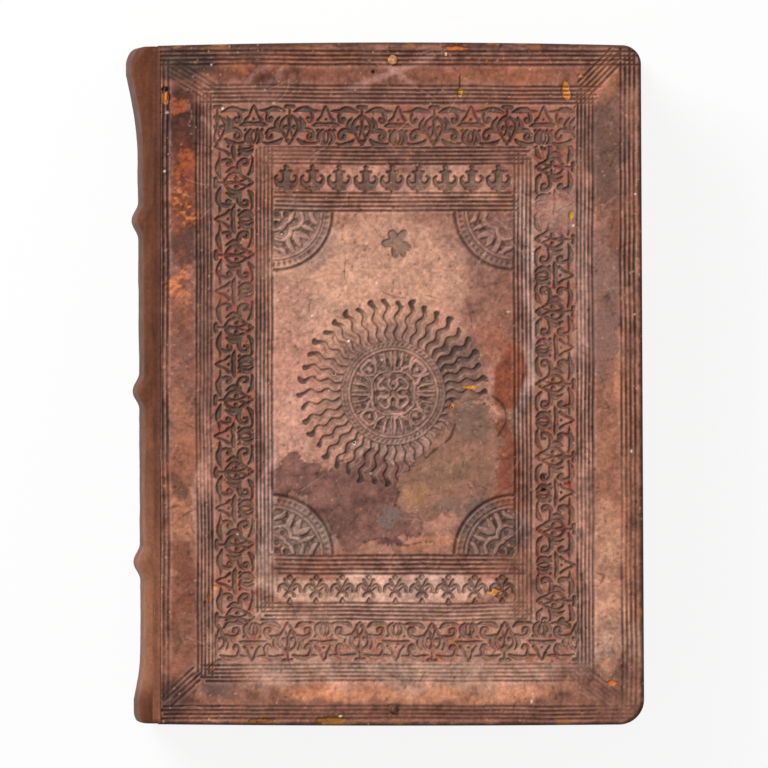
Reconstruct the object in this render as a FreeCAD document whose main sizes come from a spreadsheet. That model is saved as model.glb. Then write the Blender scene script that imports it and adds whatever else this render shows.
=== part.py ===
import FreeCAD, Part
import math
import os
import re

import Sketcher
from FreeCAD import Vector

# An old leather-bound book that lies on its back cover, seen with its front cover up.
# +X runs from the spine to the fore-edge, +Y from the tail to the head, +Z up.
# The origin is at the middle of the space it takes up, on the surface it lies on.

os.makedirs("parts", exist_ok=True)

# Driving dimensions, in millimetres.
SIZES = (
    ("book_tall", "240"),           # head to tail, over the bowed edges of the covers
    ("cover_wide", "171.1"),        # joint crease to fore-edge
    ("fore_slant", "1.2"),          # the fore-edge leans in by this much at the head
    ("head_curve", "3050"),         # radius of the bowed head edge
    ("tail_curve", "7300"),         # radius of the bowed tail edge
    ("head_corner", "6.5"),         # worn corner at head and fore-edge
    ("tail_corner", "8.8"),         # worn corner at tail and fore-edge
    ("rim_bevel", "1.3"),           # bevelled outer edge of the covered board
    ("lip_bevel", "0.4"),           # edge of the turn-in side
    ("leather_thick", "1"),
    ("board_thick", "5"),
    ("turn_thick", "0.6"),          # leather pared down where it turns in
    ("turn_wide", "17"),            # how far the turn-ins reach over the board
    ("paper_thick", "0.3"),
    ("paper_margin", "5.5"),        # bare turn-in left round the pasted-down leaf
    ("rest_gap", "0.3"),            # closed cover to text block
    ("crease_gap", "0.2"),          # each side of the joint line
    ("board_setback", "1.5"),       # joint line to the spine edge of the board
    ("block_thick", "40"),
    ("square_wide", "4"),           # how far the covers stand past the leaves
    ("fore_hollow", "150"),         # radius of the hollow fore-edge
    ("shoulder_reach", "0.6"),      # shoulder of the text block past the joint line
    ("skin_drop", "0.35"),          # spine leather lies this much below the cover's face
    ("crease_fall", "0.45"),        # and falls this much more into the crease
    ("head_panel_reach", "7.4"),    # spine past the joint line, at the head flare
    ("tail_panel_reach", "6.4"),    # and at the tail flare
    ("spine_bow", "2.2"),           # round of the back between its two shoulders
    ("shoulder_round", "3.5"),
    ("lining_thick", "0.4"),
    ("lining_half", "21"),
    ("cap_reach", "11.6"),          # head cap past the joint line
    ("head_flare_inset", "42"),     # head edge to where the spine starts to flare
    ("head_cap_inset", "11"),       # head edge to the full width of the cap
    ("head_cap_turn", "7.7"),       # head edge to where the cap rounds off
    ("tail_cap_reach", "8.8"),
    ("tail_flare_inset", "27"),     # the same three at the tail
    ("tail_cap_inset", "9"),
    ("tail_cap_turn", "5"),
    ("cap_end_reach", "6.9"),       # rounded-off end of both caps
    ("cap_square", "1.2"),          # caps end this far short of the covers
    ("band_rise", "2.3"),           # raised band over the spine panels
    ("band_half", "6.5"),
    ("band_head", "57.6"),          # middle of the head band above the book's middle
    ("middle_band_drop", "2.5"),    # and of the other two below it
    ("tail_band_drop", "62.8"),
    ("ridge_sunk", "0.3"),          # foot of a ridge below the surface it stands on
    ("support_half", "2.2"),
    ("cord_rise", "2.2"),           # cord over the linings beside it, leather included
    ("slip_wide", "6"),             # flattened end of a sewing support in the board
    ("slip_thick", "1.5"),
    ("slip_run", "14"),
    ("endband_thick", "3"),
    ("endband_tall", "3"),
    ("endband_half", "19"),
    ("tie_x", "3"),                 # remains of the ties, on the cover's middle line
    ("tie_inset", "6.2"),           # from the head and tail edges
    ("tie_round", "1.2"),
    ("knob_round", "1.8"),
    ("head_knob_high", "0.35"),
    ("tail_knob_high", "0.9"),
    ("groove_deep", "0.4"),         # tooled lines and stamps in the leather
    ("groove_wide", "0.6"),
    ("groove_pitch", "1.45"),
    ("outer_frame_inset", "2.3"),   # cover edge to the outer line of the outer frame
    ("hinge_frame_inset", "0.6"),   # joint line to the same
    ("outer_frame_lines", "4"),
    ("inner_frame_lines", "5"),
    ("border_hinge_inset", "14"),   # outer line of the second frame from each edge
    ("border_fore_inset", "16.5"),
    ("border_head_inset", "14.2"),
    ("border_tail_inset", "15.2"),
    ("roll_room", "21.5"),          # second frame to third, outer line to outer line
    ("roll_pitch", "24.6"),         # repeat of the ornament rolled along the border
    ("row_room", "16"),             # third frame to the lines under a row of flowers
    ("flower_pitch", "9.3"),
    ("flower_count", "9"),
    ("diagonal_lines", "3"),
    ("stamp_round", "21"),          # quarter-circle stamp in each corner of the panel
    ("stamp_border", "3.2"),
    ("sun_x", "3.1"),               # middle of the sun stamp
    ("sun_y", "-3.3"),
    ("sun_disc", "15.6"),
    ("sun_rim", "18.4"),
    ("sun_foot", "19.6"),
    ("sun_tip", "34"),
    ("sun_rays", "42"),
    ("sun_petals", "8"),
)

# Places worked out from them.
PLACES = (
    ("joint_x", "(cap_reach - cover_wide) / 2"),
    ("fore_x", "joint_x + cover_wide"),
    ("fore_head_x", "fore_x - fore_slant"),
    ("hide_x", "joint_x + crease_gap"),
    ("spine_edge_x", "joint_x - crease_gap"),
    ("head_y", "book_tall / 2 - head_curve + sqrt(head_curve ^ 2 - cover_wide ^ 2 / 4)"),
    ("tail_y", "tail_curve - sqrt(tail_curve ^ 2 - cover_wide ^ 2 / 4) - book_tall / 2"),
    ("board_x", "joint_x + board_setback"),
    ("board_fore_x", "fore_x - leather_thick"),
    ("board_fore_head_x", "fore_head_x - leather_thick"),
    ("board_head_y", "head_y - leather_thick"),
    ("board_tail_y", "tail_y + leather_thick"),
    ("cover_thick", "leather_thick + board_thick + turn_thick + paper_thick"),
    ("block_low", "cover_thick + rest_gap"),
    ("block_high", "block_low + block_thick"),
    ("top_z", "block_high + rest_gap + cover_thick"),
    ("mid_z", "top_z / 2"),
    ("back_face", "0"),
    ("back_skin", "leather_thick"),
    ("back_slip", "back_skin + slip_thick"),
    ("back_inner", "back_skin + board_thick"),
    ("front_face", "top_z"),
    ("front_skin", "top_z - leather_thick"),
    ("front_slip", "front_skin - slip_thick"),
    ("front_inner", "front_skin - board_thick"),
    ("block_half", "book_tall / 2 - square_wide"),
    ("block_fore_x", "fore_head_x - square_wide"),
    ("shoulder_x", "joint_x + shoulder_reach"),
    ("window_x", "fore_head_x - turn_wide"),
    ("window_y", "board_head_y - turn_wide"),
    ("window_low_y", "-window_y"),
    ("dip_x", "window_x - paper_thick"),
    ("dip_y", "window_y - paper_thick"),
    ("dip_low_y", "-dip_y"),
    ("leaf_x", "fore_head_x - paper_margin"),
    ("leaf_y", "board_head_y - paper_margin"),
    ("leaf_low_y", "-leaf_y"),
    ("head_flare_low", "book_tall / 2 - head_flare_inset"),
    ("head_cap_low", "book_tall / 2 - head_cap_inset"),
    ("head_cap_high", "book_tall / 2 - head_cap_turn"),
    ("tail_flare_high", "tail_flare_inset - book_tall / 2"),
    ("tail_cap_high", "tail_cap_inset - book_tall / 2"),
    ("tail_cap_low", "tail_cap_turn - book_tall / 2"),
    ("band_middle", "-middle_band_drop"),
    ("band_tail", "-tail_band_drop"),
    ("core_reach", "tail_panel_reach"),
    ("apex_x", "joint_x - (core_reach - spine_bow - shoulder_round)"),
    ("centre_z", "top_z - skin_drop - shoulder_round"),
    ("rise", "centre_z - mid_z"),
    ("back_x", "joint_x + (rise ^ 2 / spine_bow + 2 * apex_x - 2 * joint_x - spine_bow) / 2"),
    ("back_round", "back_x - joint_x + core_reach"),
    ("lining_out", "back_round - leather_thick"),
    ("lining_in", "lining_out - lining_thick"),
    ("block_round", "shoulder_round - leather_thick - lining_thick"),
    ("shoulder_high", "centre_z + block_round"),
    ("shoulder_low", "top_z - shoulder_high"),
    ("turn_x", "back_x + (apex_x - back_x) * lining_in / (back_round - shoulder_round)"),
    ("turn_high", "mid_z + rise * lining_in / (back_round - shoulder_round)"),
    ("turn_low", "top_z - turn_high"),
    ("cord_x", "apex_x - cord_rise"),
    ("cord_round", "shoulder_round - leather_thick"),
    ("cord_high", "centre_z + cord_round"),
    ("cord_low", "top_z - cord_high"),
    ("cord_turn_x", "cord_x + (apex_x - back_x) * cord_round / (back_round - shoulder_round)"),
    ("cord_turn_high", "mid_z + rise * lining_out / (back_round - shoulder_round)"),
    ("cord_turn_low", "top_z - cord_turn_high"),
    ("lining_high", "mid_z + lining_half"),
    ("lining_low", "mid_z - lining_half"),
    ("lining_out_x", "back_x - sqrt(lining_out ^ 2 - lining_half ^ 2)"),
    ("lining_in_x", "back_x - sqrt(lining_in ^ 2 - lining_half ^ 2)"),
    ("endband_high", "mid_z + endband_half"),
    ("endband_low", "mid_z - endband_half"),
    ("endband_in", "lining_out - endband_thick"),
    ("endband_out_x", "back_x - sqrt(lining_out ^ 2 - endband_half ^ 2)"),
    ("endband_in_x", "back_x - sqrt(endband_in ^ 2 - endband_half ^ 2)"),
    ("slip_end", "board_x + slip_run"),
    ("slip_hole", "slip_end - slip_thick"),
    ("tie_head_y", "book_tall / 2 - tie_inset"),
    ("tie_tail_y", "tie_inset - book_tall / 2"),
    ("knob_top_head", "top_z + head_knob_high"),
    ("knob_top_tail", "top_z + tail_knob_high"),
)


def spelled(expression):
    """Name the sheet of every size and place in an expression."""
    def owner(match):
        word = match.group()
        if word in SIZE_NAMES:
            return "Sizes." + word
        if word in PLACE_NAMES:
            return "Places." + word
        return word
    return re.sub(r"[a-z_]+", owner, expression)


def make_sheet(name, rows):
    sheet = doc.addObject("Spreadsheet::Sheet", name)
    for row, (alias, text) in enumerate(rows, start=1):
        sheet.set("A%d" % row, alias)
        sheet.set("B%d" % row, text)
        sheet.setAlias("B%d" % row, alias)
    doc.recompute()
    return sheet


def value(name):
    """The number that a size or a place holds now."""
    sheet = sizes if name in SIZE_NAMES else places
    return float(getattr(sheet, name))


def bind(item, path, expression):
    item.setExpression(path, spelled(expression))


# Sketches and solids.

def plane_of(body, role):
    for feature in body.Origin.OriginFeatures:
        if feature.Role == role:
            return feature


def add_sketch(body, name, role, offset):
    sketch = body.newObject("Sketcher::SketchObject", name)
    sketch.AttachmentSupport = [(plane_of(body, role), "")]
    sketch.MapMode = "FlatFace"
    bind(sketch, "AttachmentOffset.Base.z", offset)
    return sketch


def flat_arc(start, end, radius, hollow):
    """An arc from start to end that bulges to the right of the way, or to the left if hollow."""
    chord = end - start
    inward = Vector(-chord.y, chord.x, 0).normalize()
    side = -1 if hollow else 1
    centre = (start + end) / 2 + inward * side * math.sqrt(radius ** 2 - chord.Length ** 2 / 4)
    first, last = (end, start) if hollow else (start, end)
    turn = [math.atan2(point.y - centre.y, point.x - centre.x) for point in (first, last)]
    if turn[1] < turn[0]:
        turn[1] += 2 * math.pi
    return Part.ArcOfCircle(Part.Circle(centre, Vector(0, 0, 1), radius), turn[0], turn[1])


def draw_outline(sketch, corners, bends=None):
    """A closed outline through named places; bends gives the radius of the sides that are arcs."""
    bends = bends or {}
    points = [Vector(value(across), value(up), 0) for across, up in corners]
    count = len(points)
    ends = []
    for side in range(count):
        start, end = points[side], points[(side + 1) % count]
        radius, hollow = bends.get(side, (None, False))
        if radius:
            curve = sketch.addGeometry(flat_arc(start, end, value(radius), hollow))
            bound = sketch.addConstraint(Sketcher.Constraint("Radius", curve, value(radius)))
            bind(sketch, "Constraints[%d]" % bound, radius)
        else:
            curve = sketch.addGeometry(Part.LineSegment(start, end))
        ends.append((curve, 2, 1) if hollow else (curve, 1, 2))
    for side in range(count):
        curve, first, last = ends[side]
        after, after_first, _ = ends[(side + 1) % count]
        sketch.addConstraint(Sketcher.Constraint("Coincident", curve, last, after, after_first))
        for kind, name in zip(("DistanceX", "DistanceY"), corners[side]):
            pin = Sketcher.Constraint(kind, -1, 1, curve, first, value(name))
            bind(sketch, "Constraints[%d]" % sketch.addConstraint(pin), name)


def grow(body, kind, name, sketch, length):
    """A pad or a pocket of a sketch, straight along or against the sketch's normal."""
    feature = body.newObject("PartDesign::" + kind, name)
    feature.Profile = sketch
    bind(feature, "Length", length)
    return feature


def new_body(label):
    body = doc.addObject("PartDesign::Body", label)
    body.Label = label
    return body


def ease_edges(body, kind, name, size, chosen):
    """A fillet or a chamfer on the edges of the body so far that the test picks."""
    doc.recompute()
    base = body.Tip
    names = ["Edge%d" % (place + 1) for place, edge in enumerate(base.Shape.Edges) if chosen(edge)]
    feature = body.newObject("PartDesign::" + kind, name)
    feature.Base = (base, names)
    bind(feature, "Radius" if kind == "Fillet" else "Size", size)
    return feature


def subtract(name, base, tool):
    cut = doc.addObject("Part::Cut", name)
    cut.Base = base
    cut.Tool = tool
    return cut


def together(name, items):
    group = doc.addObject("Part::Compound", name)
    group.Links = items
    return group


def shaped(name, shape):
    feature = doc.addObject("Part::Feature", name)
    feature.Shape = shape
    return feature


def clearing(name, long, wide, high, low):
    """A box to cut away, from the joint towards the fore-edge and even about the middle line."""
    box = doc.addObject("Part::Box", name)
    bind(box, "Length", long)
    bind(box, "Width", wide)
    bind(box, "Height", high)
    bind(box, "Placement.Base.x", "hide_x")
    bind(box, "Placement.Base.y", "-(%s) / 2" % wide)
    bind(box, "Placement.Base.z", low)
    return box


# Covers. Each is built from its outer face inwards; side is "front" or "back".

def cover_slab(body, side, name, corners, bends, shallow, deep):
    """A layer of a cover between two depths below its outer face."""
    low = "top_z - (%s)" % deep if side == "front" else shallow
    sketch = add_sketch(body, name + "_outline", "XY_Plane", low)
    draw_outline(sketch, corners, bends)
    return grow(body, "Pad", name, sketch, "(%s) - (%s)" % (deep, shallow))


def outline_of_cover(spine, fore, fore_head, head, tail):
    corners = ((spine, tail), (fore, tail), (fore_head, head), (spine, head))
    bends = {0: ("tail_curve", False), 2: ("head_curve", False)}
    return corners, bends


def round_cover_corners(body, trim):
    """The two worn corners at the fore-edge."""
    def upright(edge):
        first, last = edge.Vertexes[0].Point, edge.Vertexes[-1].Point
        return abs(first.x - last.x) + abs(first.y - last.y) < 1e-6 and first.x > 0
    ease_edges(body, "Fillet", "head_corner_round", "head_corner" + trim,
               lambda edge: upright(edge) and edge.Vertexes[0].Point.y > 0)
    ease_edges(body, "Fillet", "tail_corner_round", "tail_corner" + trim,
               lambda edge: upright(edge) and edge.Vertexes[0].Point.y < 0
               and edge.Vertexes[0].Point.x > value("fore_x") - value("leather_thick") - 1e-3)


def make_board(side, fittings):
    """The wooden board, with the channels and holes of what is laced into it."""
    body = new_body(side + "_board_blank")
    corners, bends = outline_of_cover("board_x", "board_fore_x", "board_fore_head_x",
                                      "board_head_y", "board_tail_y")
    cover_slab(body, side, "board", corners, bends, "leather_thick", "leather_thick + board_thick")
    round_cover_corners(body, " - leather_thick")
    board = subtract(side + "_board", body, together(side + "_board_fittings", fittings))
    return body, board


def make_cover_leather(side, blank, fittings, tooling):
    """The leather over one board: its face, its wrapped edges and its turn-ins."""
    body = new_body(side + "_wrap")
    corners, bends = outline_of_cover("hide_x", "fore_x", "fore_head_x", "head_y", "tail_y")
    cover_slab(body, side, "wrap", corners, bends, "0", "cover_thick - paper_thick")
    round_cover_corners(body, "")
    outer = value(side + "_face")
    inner = value("cover_thick") - value("paper_thick")
    inner = value("top_z") - inner if side == "front" else inner

    def rim_at(height):
        def chosen(edge):
            flat = all(abs(point.z - height) < 1e-6 for point in edge.discretize(3))
            return flat and edge.CenterOfMass.x > value("hide_x") + 1e-3
        return chosen
    ease_edges(body, "Chamfer", "rim", "rim_bevel", rim_at(outer))
    ease_edges(body, "Chamfer", "lip", "lip_bevel", rim_at(inner))
    window = clearing(side + "_window", "window_x - hide_x", "2 * window_y", "turn_thick",
                      "front_inner - turn_thick" if side == "front" else "back_inner")
    joint = clearing(side + "_joint_room", "board_x - hide_x", "2 * book_tall",
                     "board_thick + turn_thick",
                     "front_inner - turn_thick" if side == "front" else "back_skin")
    hollowed = subtract(side + "_hollowed", body, blank)
    opened = subtract(side + "_opened", hollowed, window)
    leather = subtract(side + "_jointed", opened, joint)
    if fittings:
        leather = subtract(side + "_drilled", leather, together(side + "_plugs", fittings))
    return subtract(side + "_cover_leather", leather, tooling)


def make_pastedown(side):
    """The leaf pasted down inside a cover: it lies over the turn-ins and dips between them."""
    body = new_body(side + "_pastedown")
    inner = "leather_thick + board_thick"
    leaf = (("board_x", "leaf_low_y"), ("leaf_x", "leaf_low_y"), ("leaf_x", "leaf_y"),
            ("board_x", "leaf_y"))
    sunk = (("board_x", "window_low_y"), ("window_x", "window_low_y"), ("window_x", "window_y"),
            ("board_x", "window_y"))
    dip = (("hide_x", "dip_low_y"), ("dip_x", "dip_low_y"), ("dip_x", "dip_y"), ("hide_x", "dip_y"))
    cover_slab(body, side, "leaf", leaf, None, inner + " + turn_thick",
               inner + " + turn_thick + paper_thick")
    cover_slab(body, side, "sunk", sunk, None, inner, inner + " + turn_thick")
    high = "front_inner - paper_thick" if side == "front" else "back_inner + turn_thick + paper_thick"
    low = "front_inner - turn_thick - paper_thick"
    sketch = add_sketch(body, "dip_outline", "XY_Plane", low if side == "front" else high)
    draw_outline(sketch, dip)
    pocket = grow(body, "Pocket", "dip", sketch, "turn_thick")
    pocket.Reversed = side == "front"
    return body


def make_slip(side, place):
    """The flattened end of a sewing support: along a channel, then down through the board."""
    body = new_body("%s_slip_%s" % (side, place))
    sketch = add_sketch(body, "path", "XZ_Plane", "-band_" + place)
    draw_outline(sketch, (("board_x", side + "_skin"), ("slip_end", side + "_skin"),
                          ("slip_end", side + "_inner"), ("slip_hole", side + "_inner"),
                          ("slip_hole", side + "_slip"), ("board_x", side + "_slip")))
    pad = grow(body, "Pad", "slip", sketch, "slip_wide")
    pad.Midplane = True
    return body


def make_tie_stub(place):
    """What is left of a tie: a thong through the cover with a low knob on the face."""
    parts = []
    for kind, across, low, high in (("thong", "tie_round", "front_inner", "front_face"),
                                    ("knob", "knob_round", "front_face", "knob_top_" + place)):
        prism = doc.addObject("Part::Prism", "%s_%s" % (kind, place))
        prism.Polygon = 8
        bind(prism, "Circumradius", across)
        bind(prism, "Height", "%s - %s" % (high, low))
        bind(prism, "Placement.Base.x", "tie_x")
        bind(prism, "Placement.Base.y", "tie_%s_y" % place)
        bind(prism, "Placement.Base.z", low)
        parts.append(prism)
    stub = doc.addObject("Part::Fuse", "tie_stub_" + place)
    stub.Base, stub.Tool = parts
    return stub


# Half outlines of the stamps, across and along, mirrored about their middle line.
HEAD_FLOWER = ((0.8, 4.4), (0.8, 0.9), (3.9, 1.1), (2.9, -1.4), (0, -4.4))
TAIL_FLOWER = ((0, 4.6), (1.2, 3.4), (0.6, 2.2), (4.2, -0.6), (1, 0), (1.2, -4.6))
PALMETTE = ((0, 5.8), (1.8, 3.4), (2.4, 0.6))
LENS = ((0, 5.9), (5.2, 4.4), (0, 2.8))
TULIP = ((0, -2.8), (2.4, -1.2), (1.2, -5.4))
PETAL = ((0, 3.6), (1.9, 8.2), (0, 12.4))
LEAF = ((0, 5), (1.6, 10.5), (0, 16))


def mirrored(half):
    """The whole outline of a stamp from its right half."""
    left = [(-across, along) for across, along in reversed(half) if across > 0]
    return list(half) + left


def sunk(face, side="front"):
    """A flat face at the bottom of the tooling, as a prism that reaches out of the cover."""
    return face.extrude(Vector(0, 0, 1 if side == "front" else -1))


def flat_face(points, side="front"):
    """The face inside an outline, at the depth of the tooling."""
    deep = value("groove_deep")
    depth = value("top_z") - deep if side == "front" else deep
    corners = [Vector(x, y, depth) for x, y in points]
    return Part.Face(Part.makePolygon(corners + corners[:1]))


def pressed(outline, x=0.0, y=0.0, turn=0.0):
    """A stamp of the front cover at its place, turned about its own middle."""
    angle = math.radians(turn)
    points = [(x + across * math.cos(angle) - along * math.sin(angle),
               y + across * math.sin(angle) + along * math.cos(angle)) for across, along in outline]
    return sunk(flat_face(points))


def frame_lines(side, box, lines):
    """Nested rectangular lines of one tooled frame, from the outermost inwards."""
    solids = []
    for line in range(int(lines)):
        inset = line * value("groove_pitch")
        rings = [inset_box(box, inset), inset_box(box, inset + value("groove_wide"))]
        whole, hole = [flat_face(((left, low), (right, low), (right, high), (left, high)), side)
                       for left, right, low, high in rings]
        solids.append(sunk(whole.cut(hole), side))
    return solids


def straight_line(start, end):
    """One tooled line between two points of the cover."""
    half = value("groove_wide") / 2
    along = (end - start).normalize()
    across = Vector(-along.y, along.x, 0) * half
    corners = (start - across, end - across, end + across, start + across)
    return pressed([(corner.x, corner.y) for corner in corners])


def inset_box(box, by):
    left, right, low, high = box
    return left + by, right - by, low + by, high - by


def frame_boxes():
    """The outer lines of the three nested frames: left, right, low and high."""
    edge = value("outer_frame_inset")
    outer = (value("joint_x") + value("hinge_frame_inset"), value("fore_head_x") - edge,
             value("tail_y") + edge, value("head_y") - edge)
    border = (value("joint_x") + value("border_hinge_inset"),
              value("fore_head_x") - value("border_fore_inset"),
              value("tail_y") + value("border_tail_inset"),
              value("head_y") - value("border_head_inset"))
    return outer, border, inset_box(border, value("roll_room"))


def lines_width(lines):
    return (value(lines) - 1) * value("groove_pitch") + value("groove_wide")


def corner_diagonals(outer, border):
    """Lines that join the corners of the outer frame to those of the second."""
    outer = inset_box(outer, lines_width("outer_frame_lines"))
    lines = []
    for across in (0, 1):
        for along in (2, 3):
            start = Vector(outer[across], outer[along], 0)
            end = Vector(border[across], border[along], 0)
            way = (end - start).normalize()
            side = Vector(-way.y, way.x, 0)
            for line in range(int(value("diagonal_lines"))):
                shift = side * (line - (value("diagonal_lines") - 1) / 2) * value("groove_pitch")
                margin = way * 1.5 * value("groove_pitch")
                lines.append(straight_line(start + shift + margin, end + shift - margin))
    return lines


def rolled_border(border, panel):
    """The ornament rolled along the four sides between the second and third frames."""
    inner = inset_box(border, lines_width("inner_frame_lines"))
    middle = [(near + far) / 2 for near, far in zip(inner, panel)]
    left, right, low, high = middle
    sides = ((left, right, 0, (0, high)), (left, right, 180, (0, low)),
             (low, high, 90, (left, 0)), (low, high, 270, (right, 0)))
    stamps = []
    for first, last, turn, (x, y) in sides:
        room = last - first - (high - panel[3]) * 2
        count = round(room / value("roll_pitch"))
        pitch = room / count
        for repeat in range(count):
            place = (first + last - room) / 2 + (repeat + 0.5) * pitch
            spot = (place, y) if turn in (0, 180) else (x, place)
            for half in (PALMETTE, TULIP):
                stamps.append(pressed(mirrored(half), spot[0], spot[1], turn))
            if repeat:
                place -= pitch / 2
                spot = (place, y) if turn in (0, 180) else (x, place)
                stamps.append(pressed(mirrored(LENS), spot[0], spot[1], turn))
    return stamps


def flower_rows(panel):
    """A row of flowers at the head and the tail of the panel, and the lines under each."""
    left, right, low, high = inset_box(panel, lines_width("inner_frame_lines"))
    step, room, pitch = value("groove_pitch"), value("row_room"), value("flower_pitch")
    lower = panel[3] - room
    middle = (left + right) / 2
    stamps = []
    for half, way in ((HEAD_FLOWER, 1), (TAIL_FLOWER, -1)):
        edge = panel[3] if way > 0 else panel[2]
        frame_edge = high if way > 0 else low
        start = edge - way * room
        for line in range(int(value("inner_frame_lines"))):
            y = start - way * line * step
            stamps.append(straight_line(Vector(left + step, y, 0), Vector(right - step, y, 0)))
        y = (frame_edge + start) / 2
        for flower in range(int(value("flower_count"))):
            x = middle + (flower - (value("flower_count") - 1) / 2) * pitch
            stamps.append(pressed(mirrored(half), x, y))
    return stamps, lower - lines_width("inner_frame_lines")


def corner_stamps(panel, reach_high):
    """A quarter circle in each corner of the panel: its border and a spray of leaves."""
    left, right, low, high = inset_box(panel, lines_width("inner_frame_lines"))
    gap = value("groove_pitch")
    corners = ((left + gap, reach_high - gap, 270), (right - gap, reach_high - gap, 180),
               (right - gap, panel[2] + panel[3] - reach_high + gap, 90),
               (left + gap, panel[2] + panel[3] - reach_high + gap, 0))
    outer, inner = value("stamp_round"), value("stamp_round") - value("stamp_border")
    steps = [math.radians(15 * step) for step in range(7)]
    ring = [(outer * math.cos(angle), outer * math.sin(angle)) for angle in steps]
    ring += [(inner * math.cos(angle), inner * math.sin(angle)) for angle in reversed(steps)]
    stamps = []
    for x, y, turn in corners:
        stamps.append(pressed(ring, x, y, turn))
        for leaf in (-68, -45, -22):
            stamps.append(pressed(mirrored(LEAF), x, y, turn + leaf))
    return stamps


def sun_stamp():
    """The sun in the panel: two rings, petals inside them and a circle of bent rays."""
    x, y = value("sun_x"), value("sun_y")
    wide = value("groove_wide")
    foot, tip = value("sun_foot"), value("sun_tip")
    middle = (foot + tip) / 2
    bend = (tip - foot) / 16
    ray = [(0, foot), (bend, middle), (-bend, tip), (bend, tip), (2.4 * bend, middle)]
    stamps = []
    count = int(value("sun_rays"))
    for number in range(count):
        stamps.append(pressed(ray, x, y, 360 * number / count))
    steps = [2 * math.pi * step / 24 for step in range(24)]
    for radius in (value("sun_disc"), value("sun_rim")):
        hole, whole = [flat_face([(x + size * math.cos(angle), y + size * math.sin(angle))
                                  for angle in steps]) for size in (radius, radius + wide)]
        stamps.append(sunk(whole.cut(hole)))
    petals = int(value("sun_petals"))
    for number in range(petals):
        stamps.append(pressed(mirrored(PETAL), x, y, 360 * number / petals))
    return stamps


def make_tooling(side):
    """The blind tooling pressed into a cover's face: frames on both, stamps on the front."""
    outer, border, panel = frame_boxes()
    solids = frame_lines(side, outer, value("outer_frame_lines"))
    if side == "front":
        solids += frame_lines(side, border, value("inner_frame_lines"))
        solids += frame_lines(side, panel, value("inner_frame_lines"))
        solids += corner_diagonals(outer, border)
        solids += rolled_border(border, panel)
        rows, reach_high = flower_rows(panel)
        solids += rows
        solids += corner_stamps(panel, reach_high)
        solids += sun_stamp()
    else:
        solids += frame_lines(side, border, 1)
    return shaped(side + "_tooling", Part.Compound(solids))


# Text block and what is sewn and pasted to its back.

def make_text_block():
    """All the leaves, backed to two shoulders, with a round back and a hollow fore-edge."""
    body = new_body("text_block")
    sketch = add_sketch(body, "section", "XZ_Plane", "0")
    corners = (("block_fore_x", "block_low"), ("block_fore_x", "block_high"),
               ("shoulder_x", "block_high"), ("shoulder_x", "shoulder_high"),
               ("apex_x", "shoulder_high"), ("turn_x", "turn_high"), ("turn_x", "turn_low"),
               ("apex_x", "shoulder_low"), ("shoulder_x", "shoulder_low"),
               ("shoulder_x", "block_low"))
    bends = {0: ("fore_hollow", True), 4: ("block_round", False), 5: ("lining_in", False),
             6: ("block_round", False)}
    draw_outline(sketch, corners, bends)
    pad = grow(body, "Pad", "leaves", sketch, "2 * block_half")
    pad.Midplane = True
    return body


def make_back_strip(label, outer, inner, part, high, long):
    """A strip curved to the back: its outer and inner radius, its two sides and its ends."""
    body = new_body(label)
    sketch = add_sketch(body, "section", "XZ_Plane", "-(%s)" % high)
    corners = ((part + "_out_x", part + "_high"), (part + "_out_x", part + "_low"),
               (part + "_in_x", part + "_low"), (part + "_in_x", part + "_high"))
    draw_outline(sketch, corners, {0: (outer, False), 2: (inner, True)})
    grow(body, "Pad", "strip", sketch, long)
    return body


def make_linings():
    """A lining in each of the four panels between the sewing supports."""
    edges = ("block_half", "band_head", "band_middle", "band_tail", "-block_half")
    linings = []
    for panel in range(4):
        high = edges[panel] + (" - support_half" if panel > 0 else "")
        low = edges[panel + 1] + (" + support_half" if panel < 3 else "")
        linings.append(make_back_strip("spine_lining_%d" % (panel + 1), "lining_out", "lining_in",
                                       "lining", high, "%s - (%s)" % (high, low)))
    return linings


def make_endbands():
    """The worked bands at the head and the tail of the back."""
    head = make_back_strip("head_endband", "lining_out", "endband_in", "endband",
                           "block_half + endband_tall", "endband_tall")
    tail = make_back_strip("tail_endband", "lining_out", "endband_in", "endband",
                           "-block_half", "endband_tall")
    return [head, tail]


def make_support(place):
    """A sewing support: a cord round the back of the leaves, under its raised band."""
    body = new_body("sewing_support_" + place)
    sketch = add_sketch(body, "section", "XZ_Plane", "-band_" + place)
    corners = (("spine_edge_x", "cord_high"), ("cord_x", "cord_high"), ("cord_turn_x", "cord_turn_high"),
               ("cord_turn_x", "cord_turn_low"), ("cord_x", "cord_low"), ("spine_edge_x", "cord_low"),
               ("spine_edge_x", "shoulder_low"), ("apex_x", "shoulder_low"), ("turn_x", "turn_low"),
               ("turn_x", "turn_high"), ("apex_x", "shoulder_high"), ("spine_edge_x", "shoulder_high"))
    bends = {1: ("cord_round", False), 2: ("lining_out", False), 3: ("cord_round", False),
             7: ("block_round", True), 8: ("lining_in", True), 9: ("block_round", True)}
    draw_outline(sketch, corners, bends)
    pad = grow(body, "Pad", "cord", sketch, "2 * support_half")
    pad.Midplane = True
    return body


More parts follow.
